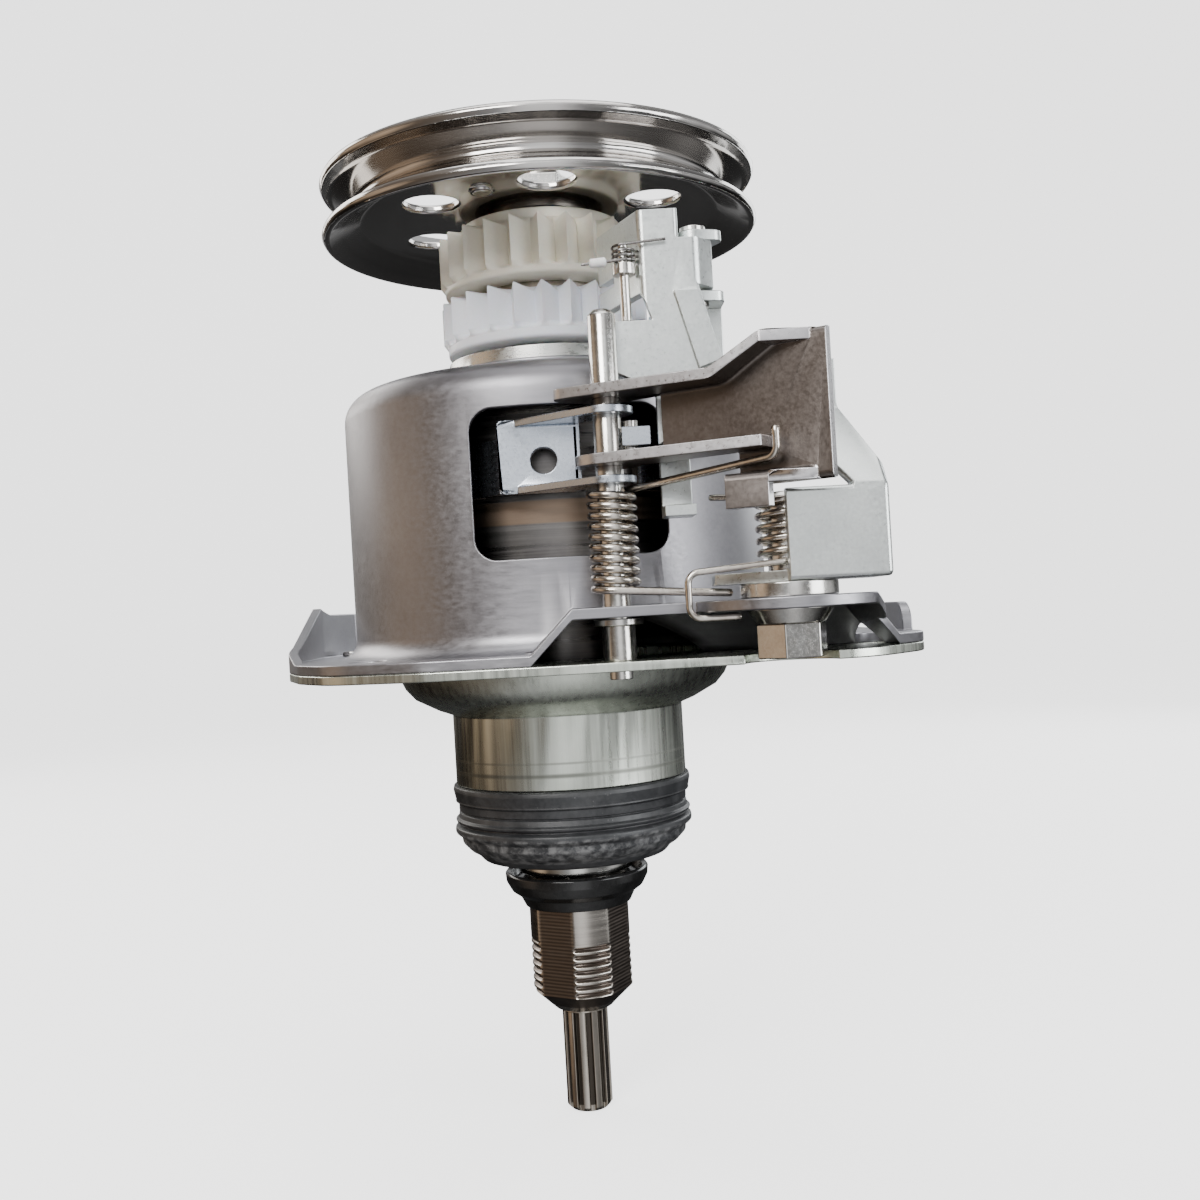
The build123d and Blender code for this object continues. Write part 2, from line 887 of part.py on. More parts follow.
def make_pulley():
    top = pulley_top_z
    groove_low = (pulley_low_z + top) / 2 - pulley_bottom_w / 2
    groove_high = groove_low + pulley_bottom_w
    inner_r = pulley_bottom_r - pulley_wall
    outline = section([
        (shaft_r, pulley_web_z),
        (inner_r, pulley_web_z),
        (pulley_r - lip_in, pulley_low_z),
        (pulley_r, pulley_low_z + lip_h / 3),
        (pulley_r, pulley_low_z + lip_h),
        (pulley_r - lip_in / 2, pulley_low_z + lip_h + lip_in / 2),
        (pulley_bottom_r, groove_low),
        (pulley_bottom_r, groove_high),
        (pulley_r - lip_in / 2, top - lip_h - lip_in / 2),
        (pulley_r, top - lip_h),
        (pulley_r, top - lip_h / 3),
        (pulley_r - lip_in, top),
        (inner_r, web_top + (top - web_top) / 3),
        (inner_r, web_top),
        (shaft_r, web_top),
    ])
    with BuildPart() as body:
        revolve(outline, axis=Axis.Z)
        with BuildSketch(Plane.XY.offset(pulley_web_z)):
            with PolarLocations(pulley_hole_at, pulley_hole_count, start_angle=pulley_hole_turn):
                Circle(pulley_hole_r)
        extrude(amount=pulley_web_t, mode=Mode.SUBTRACT)
        with BuildSketch(Plane.XY.offset(pulley_web_z)):
            with PolarLocations(pulley_boss_at, pulley_boss_count, start_angle=pulley_boss_turn):
                Circle(pulley_boss_r)
        extrude(amount=-pulley_boss_h)
    return made(body, "pulley")


def make_pulley_hub_and_nut():
    made(tube(hub_r, shaft_r, hub_low_z, pulley_web_z), "pulley_hub")
    made(tube(nut_washer_r, shaft_r, web_top, web_top + nut_washer_t), "pulley_washer")
    with BuildPart() as nut:
        with BuildSketch(Plane.XY.offset(web_top + nut_washer_t)):
            RegularPolygon(nut_af / 2, 6, major_radius=False)
            Circle(shaft_r, mode=Mode.SUBTRACT)
        extrude(amount=nut_h)
    made(nut, "pulley_nut")


# Housing


def flange_corners():
    """Outline of both flanges seen from above, the same in front and behind."""
    left = [(-left_end * a, side_y * b) for a, b in left_outline_shares]
    right = [(right_end * a, side_y * b) for a, b in right_outline_shares]
    half = left + right
    return [(x, -y) for x, y in half] + half[::-1]


def mount_places():
    return [(x, y) for x in (mount_left_x, mount_right_x) for y in (-mount_y, mount_y)]


def make_bearing_housing():
    wall = cup_wall
    inner = lower_bearing_r
    with BuildPart() as body:
        with BuildSketch(Plane.XY.offset(plate_z)) as flange:
            with BuildLine():
                Polyline(*flange_corners(), close=True)
            make_face()
            fillet(flange.vertices(), outline_round)
            Circle(cup_r - wall, mode=Mode.SUBTRACT)
            with Locations(*mount_places()):
                Circle(mount_hole_r, mode=Mode.SUBTRACT)
            with Locations((pin_x, pin_y)):
                Circle(pin_rivet_r, mode=Mode.SUBTRACT)
            with Locations((bolt_x, bolt_y)):
                Circle(bolt_af / sqrt(3) + nut_clear, mode=Mode.SUBTRACT)
        extrude(amount=plate_t)
        with BuildSketch(Plane.XZ):
            with BuildLine():
                Polyline(
                    (cup_r - wall, flange_z),
                    (cup_r + wall, flange_z),
                    (cup_r + wall, plate_z),
                    (cup_r, cup_z),
                    (cup_mid_r, cup_mid_z),
                    (cup_low_r, cup_low_z),
                    (seat_r, 0),
                    (seat_r, seat_end_z),
                    (neck_r, seat_end_z),
                    (neck_r, neck_end_z),
                    (neck_lip_r, neck_end_z),
                    (neck_lip_r, neck_end_z + neck_lip_t),
                    (inner, neck_end_z + neck_lip_t),
                    (inner, lower_bearing_top - lower_bearing_w - ledge_t),
                    (ledge_r, lower_bearing_top - lower_bearing_w - ledge_t),
                    (ledge_r, lower_bearing_top - lower_bearing_w),
                    (inner, lower_bearing_top - lower_bearing_w),
                    (inner, wall),
                    (cup_low_r - wall, cup_low_z + wall),
                    (cup_mid_r - wall, cup_mid_z + wall),
                    (cup_r - wall, cup_z + wall),
                    close=True,
                )
            make_face()
        revolve(axis=Axis.Z)
    return made(body, "bearing_housing")


def make_water_seal():
    with BuildPart() as body:
        with BuildSketch(Plane.XZ):
            with BuildLine():
                Polyline(
                    (neck_r, seat_end_z),
                    (seal_top_r, seat_end_z),
                    (water_seal_r, seat_end_z - seal_bead),
                    (water_seal_r, seal_step_z),
                    (seal_mid_r, seal_mid_z),
                    (seal_low_r, seal_low_z),
                    (seal_end_r, seal_end_z),
                    (journal_r + soft_gap, seal_end_z),
                    (journal_r + soft_gap, neck_end_z),
                    (neck_r, neck_end_z),
                    close=True,
                )
            make_face()
            for z in (seal_groove_1, seal_groove_2):
                with Locations((water_seal_r, z)):
                    Rectangle(2 * seal_groove_d, seal_groove_w, mode=Mode.SUBTRACT)
        revolve(axis=Axis.Z)
    return made(body, "water_seal")


def pan(drop):
    """The raised front corner of the flange as a solid, lowered by drop."""
    low = flange_z + case_t - drop
    high = raised_top - drop
    front = -2 * side_y
    with BuildPart() as body:
        with BuildSketch(Plane.XY.offset(low)):
            with BuildLine():
                Polyline(
                    (raised_left - ramp_run, front),
                    (raised_right + ramp_run, front),
                    (raised_right + ramp_run, raised_back + ramp_run),
                    (raised_left - ramp_run, raised_back + ramp_run),
                    close=True,
                )
            make_face()
        with BuildSketch(Plane.XY.offset(high)):
            with BuildLine():
                Polyline(
                    (raised_left, front),
                    (raised_right, front),
                    (raised_right, raised_back),
                    (raised_left, raised_back),
                    close=True,
                )
            make_face()
        loft(ruled=True)
    return body.part


def left_rim():
    """Wall that follows the outline round the left end and rises towards the back."""
    top = flange_z + case_t
    with BuildPart() as wall:
        with BuildSketch(Plane.XY.offset(flange_z)) as ring:
            with BuildLine():
                Polyline(*flange_corners(), close=True)
            make_face()
            fillet(ring.vertices(), outline_round)
            offset(amount=-case_t, mode=Mode.SUBTRACT)
        extrude(amount=case_t + rim_peak_h)
    with BuildPart() as side:
        with BuildSketch(Plane.YZ.offset(-left_end)):
            with BuildLine():
                Polyline(
                    (rim_front, flange_z),
                    (rim_front, top),
                    (rim_low_y, top + rim_low_h),
                    (rim_peak_y, top + rim_peak_h),
                    (rim_drop_y, top + rim_h),
                    (rim_taper_y, top + rim_h),
                    (rim_back, top),
                    (rim_back, flange_z),
                    close=True,
                )
            make_face()
        extrude(amount=left_end)
    return wall.part & side.part


def make_case_shell():
    inner_r = case_r - case_t
    raised = pan(0)
    hollow = pan(case_t)
    with BuildPart() as limit:
        with BuildSketch(Plane.XY.offset(flange_z)) as edge:
            with BuildLine():
                Polyline(*flange_corners(), close=True)
            make_face()
            fillet(edge.vertices(), outline_round)
            with Locations((bolt_x, bolt_y)):
                Circle(tongue_r)
        extrude(amount=raised_top - flange_z)
    with BuildPart() as body:
        with BuildSketch(Plane.XY.offset(flange_z)) as flange:
            with BuildLine():
                Polyline(*flange_corners(), close=True)
            make_face()
            fillet(flange.vertices(), outline_round)
        extrude(amount=case_t)
        add(raised & limit.part)
        with BuildSketch(Plane.XY.offset(flange_z)):
            Circle(case_r)
        extrude(amount=case_top_z - flange_z)
        fillet(body.edges().filter_by(GeomType.CIRCLE).group_by(Axis.Z)[-1], case_round)
        with BuildSketch(Plane.XY.offset(flange_z)):
            Circle(inner_r)
        extrude(amount=neck_z - flange_z, mode=Mode.SUBTRACT)
        # ring of sheet that follows the rounded shoulder on the inside
        with BuildSketch(Plane.XZ):
            with BuildLine():
                Polyline(
                    (inner_r - case_round, neck_z),
                    (inner_r, neck_z),
                    (inner_r, neck_z - case_round),
                    close=True,
                )
            make_face()
        revolve(axis=Axis.Z)
        # collar that holds the upper ball bearing
        with BuildSketch(Plane.XY.offset(case_top_z)):
            Circle(collar_r)
        extrude(amount=collar_step_z - case_top_z)
        with BuildSketch(Plane.XY.offset(collar_step_z)):
            Circle(collar_r - collar_step)
        extrude(amount=collar_top_z - collar_step_z)
        with BuildSketch(Plane.XY.offset(neck_z)):
            Circle(upper_bearing_r)
        extrude(amount=collar_top_z - collar_lip_t - neck_z, mode=Mode.SUBTRACT)
        with BuildSketch(Plane.XY.offset(neck_z)):
            Circle(collar_lip_r)
        extrude(amount=collar_top_z - neck_z, mode=Mode.SUBTRACT)
        # rounded foot where the wall runs into the flange
        foot_z = flange_z + case_t
        with BuildSketch(Plane.XZ):
            with BuildLine():
                Polyline(
                    (case_r - case_t / 2, foot_z + case_foot_round),
                    (case_r - case_t / 2, foot_z),
                    (case_r + case_foot_round, foot_z),
                )
                TangentArc(
                    (case_r + case_foot_round, foot_z),
                    (case_r, foot_z + case_foot_round),
                    tangent=(-1, 0),
                )
                Line((case_r, foot_z + case_foot_round), (case_r - case_t / 2, foot_z + case_foot_round))
            make_face()
        revolve(axis=Axis.Z)
        add(hollow, mode=Mode.SUBTRACT)
        # window over the brake band
        with BuildSketch(Plane.XZ.offset(inner_r / 2)) as window:
            with Locations(((window_left + window_right) / 2, (window_low + window_high) / 2)):
                Rectangle(window_right - window_left, window_high - window_low)
            fillet(window.vertices(), window_round)
        extrude(amount=case_r, mode=Mode.SUBTRACT)
        # holes
        with BuildSketch(Plane.XY.offset(plate_z)):
            with Locations(*mount_places()):
                Circle(mount_hole_r)
            with Locations((pin_x, pin_y)):
                Circle(pin_r + pin_fit)
            with Locations((bolt_x, bolt_y)):
                Circle(bolt_r + pin_fit)
        extrude(amount=raised_top - plate_z, mode=Mode.SUBTRACT)
        # upturned ends of the flange
        add(left_rim())
        with BuildSketch(Plane.YZ.offset(right_end - case_t)) as right_tab:
            with Locations((right_tab_y, flange_z)):
                Rectangle(right_tab_w, right_tab_h + case_t, align=(Align.CENTER, Align.MIN))
            fillet(right_tab.vertices().group_by(Axis.Y)[-1], right_tab_round)
        extrude(amount=case_t)
    return made(body, "case_shell")


def make_tie_rivets():
    """Heads of the four rivets that hold the two flanges together, flush below."""
    with BuildPart() as body:
        spots = [(left_end * a, side_y * b) for a, b in tie_spot_shares]
        with BuildSketch(Plane.XY.offset(flange_z + case_t)):
            with Locations(*spots):
                Circle(tie_rivet_head_r)
        extrude(amount=tie_rivet_head_h)
    return body


# Pivot pin, lever and band


def make_pivot_pin():
    with BuildPart() as body:
        with BuildSketch(Plane((pin_x, pin_y, plate_z - pin_rivet_low))):
            Circle(pin_rivet_r)
        extrude(amount=flange_z - plate_z + pin_rivet_low)
        with BuildSketch(Plane((pin_x, pin_y, flange_z))):
            Circle(pin_collar_r)
        extrude(amount=clip_z - flange_z)
        with BuildSketch(Plane((pin_x, pin_y, clip_z))):
            Circle(pin_r)
        extrude(amount=pin_top_z - clip_z)
        chamfer(body.edges().group_by(Axis.Z)[-1], pin_chamfer)
    made(body, "pivot_pin")
    with BuildPart() as clip:
        with BuildSketch(Plane((pin_x, pin_y, clip_z))):
            Circle(clip_r)
            Circle(pin_r, mode=Mode.SUBTRACT)
        extrude(amount=clip_t)
    made(clip, "pin_clip")


def lever_face(z, corners, ear):
    """A flat sheet of the lever, from its own (u, v) corners, with the pin ear."""
    with BuildPart() as body:
        with BuildSketch(Plane.XY.offset(z)):
            with BuildLine():
                Polyline(*[on_lever(u, v) for u, v in corners], close=True)
            make_face()
            if ear:
                with Locations((pin_x, pin_y)):
                    Circle(lever_ear_r)
        extrude(amount=lever_t)
    return body.part


def make_brake_lever():
    along = Plane((pin_x, pin_y, 0), x_dir=(lever_cos, lever_sin, 0), z_dir=(lever_sin, -lever_cos, 0))
    ear_corners = [
        (0, -lever_ear_r),
        (lever_corner_l, -lever_corner_in),
        (lever_l, lever_back),
        (0, lever_back),
    ]
    with BuildPart() as plan:
        with BuildSketch(Plane.XY.offset(lever_low_z)):
            with BuildLine():
                Polyline(*[on_lever(u, v) for u, v in ear_corners], close=True)
            make_face()
            with Locations((pin_x, pin_y)):
                Circle(lever_ear_r)
            with Locations(on_lever(-lever_tab_back, -lever_tab_in)):
                Circle(lever_tab_r)
            make_hull()
        extrude(amount=lever_top_z + lever_t - lever_low_z)
    with BuildPart() as side:
        with BuildSketch(along):
            with BuildLine():
                Polyline(
                    (-2 * lever_ear_r, lever_ear_z),
                    (lever_ear_l, lever_ear_z),
                    (lever_rise_l, lever_top_z),
                    (lever_l + lever_ear_r, lever_top_z),
                    (lever_l + lever_ear_r, lever_top_z + lever_t),
                    (lever_rise_l, lever_top_z + lever_t),
                    (lever_ear_l, lever_ear_z + lever_t),
                    (-2 * lever_ear_r, lever_ear_z + lever_t),
                    close=True,
                )
            make_face()
        extrude(amount=2 * case_r, both=True)
    shelf = lever_face(
        lever_shelf_z,
        [(0, -lever_ear_r), (lever_shelf_l, -lever_shelf_in), (lever_shelf_l, lever_back), (0, lever_back)],
        True,
    )
    foot = lever_face(
        lever_low_z,
        [
            (lever_step_l, -lever_low_in),
            (lever_corner_l, -lever_corner_in),
            (lever_l, lever_back),
            (lever_step_l, lever_back),
        ],
        False,
    )
    with BuildPart() as body:
        add(plan.part & side.part)
        add(shelf)
        add(foot)
        with BuildSketch(along.offset(-lever_back)):
            with BuildLine():
                Polyline(
                    (lever_web_start, lever_shelf_z),
                    (lever_step_l, lever_shelf_z),
                    (lever_step_l, lever_low_z),
                    (lever_l, lever_low_z),
                    (lever_l, lever_top_z + lever_t),
                    (lever_rise_l, lever_top_z + lever_t),
                    (lever_ear_l, lever_ear_z + lever_t),
                    (lever_web_start, lever_ear_z + lever_t),
                    close=True,
                )
            make_face()
        extrude(amount=lever_t)
        # lip that hangs from the lower flange
        lip_end = lever_step_l + lever_lip_l
        lean = (lever_low_in - lever_corner_in) / (lever_corner_l - lever_step_l)
        with BuildSketch(Plane.XY.offset(lever_low_z - lever_lip_h)):
            with BuildLine():
                Polyline(
                    on_lever(lever_step_l, -lever_low_in),
                    on_lever(lip_end, -lever_low_in + lean * lever_lip_l),
                    on_lever(lip_end, -lever_low_in + lean * lever_lip_l + lever_t),
                    on_lever(lever_step_l, -lever_low_in + lever_t),
                    close=True,
                )
            make_face()
        extrude(amount=lever_lip_h)
        with BuildSketch(Plane((pin_x, pin_y, lever_low_z))):
            Circle(pin_r + pin_fit)
        extrude(amount=lever_top_z - lever_low_z, mode=Mode.SUBTRACT)
    return made(body, "brake_lever")


def make_offset_pin():
    x, y = on_lever(offset_pin_u, offset_pin_v)
    with BuildPart() as body:
        with BuildSketch(Plane((x, y, lever_shelf_z + lever_t))):
            Circle(offset_pin_r)
        extrude(amount=offset_pin_h)
    return made(body, "offset_pin")


def band_ring(inner, outer):
    """Part of a ring on the drum, open between the two band ends."""
    far = 2 * case_r
    with BuildPart() as body:
        with BuildSketch(Plane.XY.offset(band_z)):
            Circle(outer)
            Circle(inner, mode=Mode.SUBTRACT)
            with BuildLine():
                Polyline(
                    (0, 0),
                    (far * cos(radians(band_start)), far * sin(radians(band_start))),
                    (0, -far),
                    (far * cos(radians(band_end)), far * sin(radians(band_end))),
                    close=True,
                )
            make_face(mode=Mode.SUBTRACT)
        extrude(amount=band_h)
    return body


def make_band():
    lining_r = drum_r + soft_gap
    strip_r = lining_r + lining_t
    outer = strip_r + band_t
    made(band_ring(lining_r, strip_r), "band_lining")
    strip = band_ring(strip_r, outer)
    start = radians(band_start)
    end = radians(band_end)
    grip = radians(band_end + hook_grip)
    grip_r = (strip_r + outer) / 2
    hook_x, hook_y = on_lever(offset_pin_u, offset_pin_v)
    plate_back = clevis_y + clevis_t
    with BuildPart() as body:
        add(strip.part)
        with BuildSketch(Plane.XY.offset(band_z)):
            with BuildLine():
                Polyline(
                    (strip_r * cos(start), strip_r * sin(start)),
                    (outer * cos(start), outer * sin(start)),
                    (clevis_left, plate_back),
                    (clevis_right - clevis_round, plate_back),
                    (clevis_right - clevis_round, plate_back + band_t),
                    (clevis_left + band_t, plate_back + band_t),
                    close=True,
                )
            make_face()
        extrude(amount=band_h)
        with BuildSketch(Plane.XZ.offset(-plate_back)):
            with Locations((clevis_hole_x, clevis_hole_z)):
                Circle(clevis_hole_r)
        extrude(amount=-band_t, mode=Mode.SUBTRACT)
        with BuildSketch(Plane.XY.offset(hook_z)):
            with BuildLine():
                Polyline(
                    (grip_r * cos(end), grip_r * sin(end)),
                    (grip_r * cos(grip), grip_r * sin(grip)),
                    (outer * cos(grip), outer * sin(grip)),
                    (hook_x + hook_w / 2, hook_y + hook_w),
                    (hook_x + hook_w / 2, hook_y - hook_w / 2),
                    (hook_x - hook_w / 2, hook_y - hook_w / 2),
                    (hook_x - hook_w / 2, hook_y + hook_w),
                    close=True,
                )
            make_face()
            with Locations((hook_x, hook_y)):
                Circle(offset_pin_r + offset_pin_play, mode=Mode.SUBTRACT)
            with Locations((pin_x, pin_y)):
                Circle(pin_r + offset_pin_play / 2, mode=Mode.SUBTRACT)
        extrude(amount=hook_h)
    return made(body, "brake_band")


def make_clevis():
    with BuildPart() as body:
        with BuildSketch(Plane.XZ.offset(-clevis_y)) as face:
            with Locations(((clevis_left + clevis_right) / 2, (clevis_low + clevis_high) / 2)):
                Rectangle(clevis_right - clevis_left, clevis_high - clevis_low)
            fillet(face.vertices(), clevis_round)
            with Locations((clevis_hole_x, clevis_hole_z)):
                Circle(clevis_hole_r, mode=Mode.SUBTRACT)
        extrude(amount=-clevis_t)
        for z in (clevis_low, clevis_high - clevis_t):
            with BuildSketch(Plane.XY.offset(z)):
                with BuildLine():
                    Polyline(
                        (clevis_left + clevis_ear_in, clevis_y),
                        (clevis_right - clevis_round, clevis_y),
                        (pin_x + clevis_ear_r * cos(pi / 4), pin_y + clevis_ear_r * sin(pi / 4)),
                        (pin_x - clevis_ear_r * cos(pi / 4), pin_y - clevis_ear_r * sin(pi / 4)),
                        close=True,
                    )
                make_face()
                with Locations((pin_x, pin_y)):
                    Circle(clevis_ear_r)
                    Circle(pin_r + pin_fit, mode=Mode.SUBTRACT)
            extrude(amount=clevis_t)
    return made(body, "band_clevis")


# Bracket, bolt and pawl


def make_bracket():
    foot_z = raised_top + top_washer_t
    front = bracket_y + bracket_t
    with BuildPart() as body:
        with BuildSketch(Plane.XZ.offset(-bracket_y)) as face:
            with Locations((bracket_left, foot_z)):
                Rectangle(bracket_right - bracket_left, bracket_top_z - foot_z, align=(Align.MIN, Align.MIN))
        extrude(amount=-bracket_t)
        # foot under the spring, held by the bolt
        with BuildSketch(Plane.XY.offset(foot_z)):
            with BuildLine():
                Polyline(
                    (bracket_left, bracket_y),
                    (bracket_right, bracket_y),
                    (bracket_right, bracket_foot_back),
                    (bracket_foot_left, bracket_foot_back),
                    (bracket_foot_left, bolt_y),
                    (bracket_left, front),
                    close=True,
                )
            make_face()
            with Locations((bolt_x, bolt_y)):
                Circle(bolt_r + pin_fit, mode=Mode.SUBTRACT)
        extrude(amount=bracket_t)
        # slope that carries the arm back over the foot
        with BuildSketch(Plane.YZ.offset(bracket_arm_left)):
            with BuildLine():
                Polyline(
                    (bracket_y, bracket_top_z - bracket_round),
                    (bracket_y, bracket_top_z),
                    (bracket_slope_y, bracket_slope_z),
                    (bracket_slope_y, bracket_arm_high),
                    (bracket_slope_y + bracket_t, bracket_arm_high),
                    (bracket_slope_y + bracket_t, bracket_slope_z),
                    (front, bracket_top_z - bracket_round),
                    close=True,
                )
            make_face()
        extrude(amount=bracket_right - bracket_arm_left)
        # both of its sides lean in as it rises, the left one past the end of the lever
        for corners in (
            [
                (bracket_arm_left, bracket_top_z),
                (bracket_slope_left, bracket_top_z),
                (bracket_arm_left, bracket_arm_low),
            ],
            [
                (bracket_right, bracket_lean_z),
                (bracket_arm_right, bracket_slope_z),
                (bracket_arm_right, bracket_arm_high),
                (bracket_right, bracket_arm_high),
            ],
        ):
            with BuildSketch(Plane.XZ.offset(-bracket_y)):
                with BuildLine():
                    Polyline(*corners, close=True)
                make_face()
            extrude(amount=bracket_y - bracket_slope_y - bracket_t, mode=Mode.SUBTRACT)
        # arm that runs behind the lever to the pawl
        post_back = bracket_post_y + bracket_t
        with BuildSketch(Plane.XY.offset(bracket_arm_low)):
            with BuildLine():
                Polyline(
                    (bracket_arm_right, bracket_slope_y),
                    (bracket_arm_right, bracket_slope_y + bracket_t),
                    (bracket_slope_left, bracket_slope_y + bracket_t),
                    (bracket_post_right, post_back),
                    (bracket_post_left, post_back),
                    (bracket_post_left, bracket_post_y),
                    (bracket_post_right, bracket_post_y),
                    (bracket_slope_left, bracket_slope_y),
                    close=True,
                )
            make_face()
        extrude(amount=bracket_arm_high - bracket_arm_low)
        # post: wide below, narrow between its two ears, where the pawl turns
        low_ear = knuckle_low - soft_gap - bracket_t
        high_ear = knuckle_high + soft_gap
        corner = (bracket_post_left, bracket_post_y)
        for width, low, high in (
            (bracket_post_right - bracket_post_left, bracket_arm_low, low_ear + bracket_t),
            (bracket_neck_right - bracket_post_left, low_ear, high_ear + bracket_t),
        ):
            with BuildSketch(Plane.XY.offset(low)):
                with Locations(corner):
                    Rectangle(width, bracket_t, align=(Align.MIN, Align.MIN))
            extrude(amount=high - low)
        for z, width in (
            (low_ear, bracket_post_right - bracket_post_left),
            (high_ear, bracket_neck_right - bracket_post_left),
        ):
            with BuildSketch(Plane.XY.offset(z)):
                with Locations(corner):
                    Rectangle(width, bracket_t, align=(Align.MIN, Align.MIN))
                with Locations((pawl_x, pawl_y)):
                    Circle(bracket_ear_r)
                with Locations((bracket_post_right - bracket_lug_r, pawl_y)):
                    Circle(bracket_lug_r)
                make_hull()
                with Locations((pawl_x, pawl_y)):
                    Circle(pawl_pin_r, mode=Mode.SUBTRACT)
            extrude(amount=bracket_t)
    return made(body, "pawl_bracket")


def make_bolt():
    with BuildPart() as body:
        with BuildSketch(Plane((bolt_x, bolt_y, bolt_head_z))):
            RegularPolygon(bolt_af / 2, 6, major_radius=False, rotation=10)
        extrude(amount=bolt_head_h)
        with BuildSketch(Plane((bolt_x, bolt_y, bolt_head_z + bolt_head_h))):
            Circle(bolt_r)
        extrude(amount=bolt_top_z - bolt_head_z - bolt_head_h)
        chamfer(body.edges().group_by(Axis.Z)[-1], pin_chamfer)
    made(body, "bracket_bolt")
    with BuildPart() as cone:
        with BuildSketch(Plane((bolt_x, bolt_y, bolt_head_z + bolt_head_h))):
            Circle(cone_top_r)
        with BuildSketch(Plane((bolt_x, bolt_y, raised_z))):
            Circle(cone_r)
        loft()
        with BuildSketch(Plane((bolt_x, bolt_y, bolt_head_z))):
            Circle(bolt_r)
        extrude(amount=raised_top - bolt_head_z, mode=Mode.SUBTRACT)
    made(cone, "cone_washer")
    with BuildPart() as washer:
        with BuildSketch(Plane((bolt_x, bolt_y, raised_top))):
            Circle(top_washer_r)
            Circle(bolt_r, mode=Mode.SUBTRACT)
        extrude(amount=top_washer_t)
    made(washer, "bolt_washer")


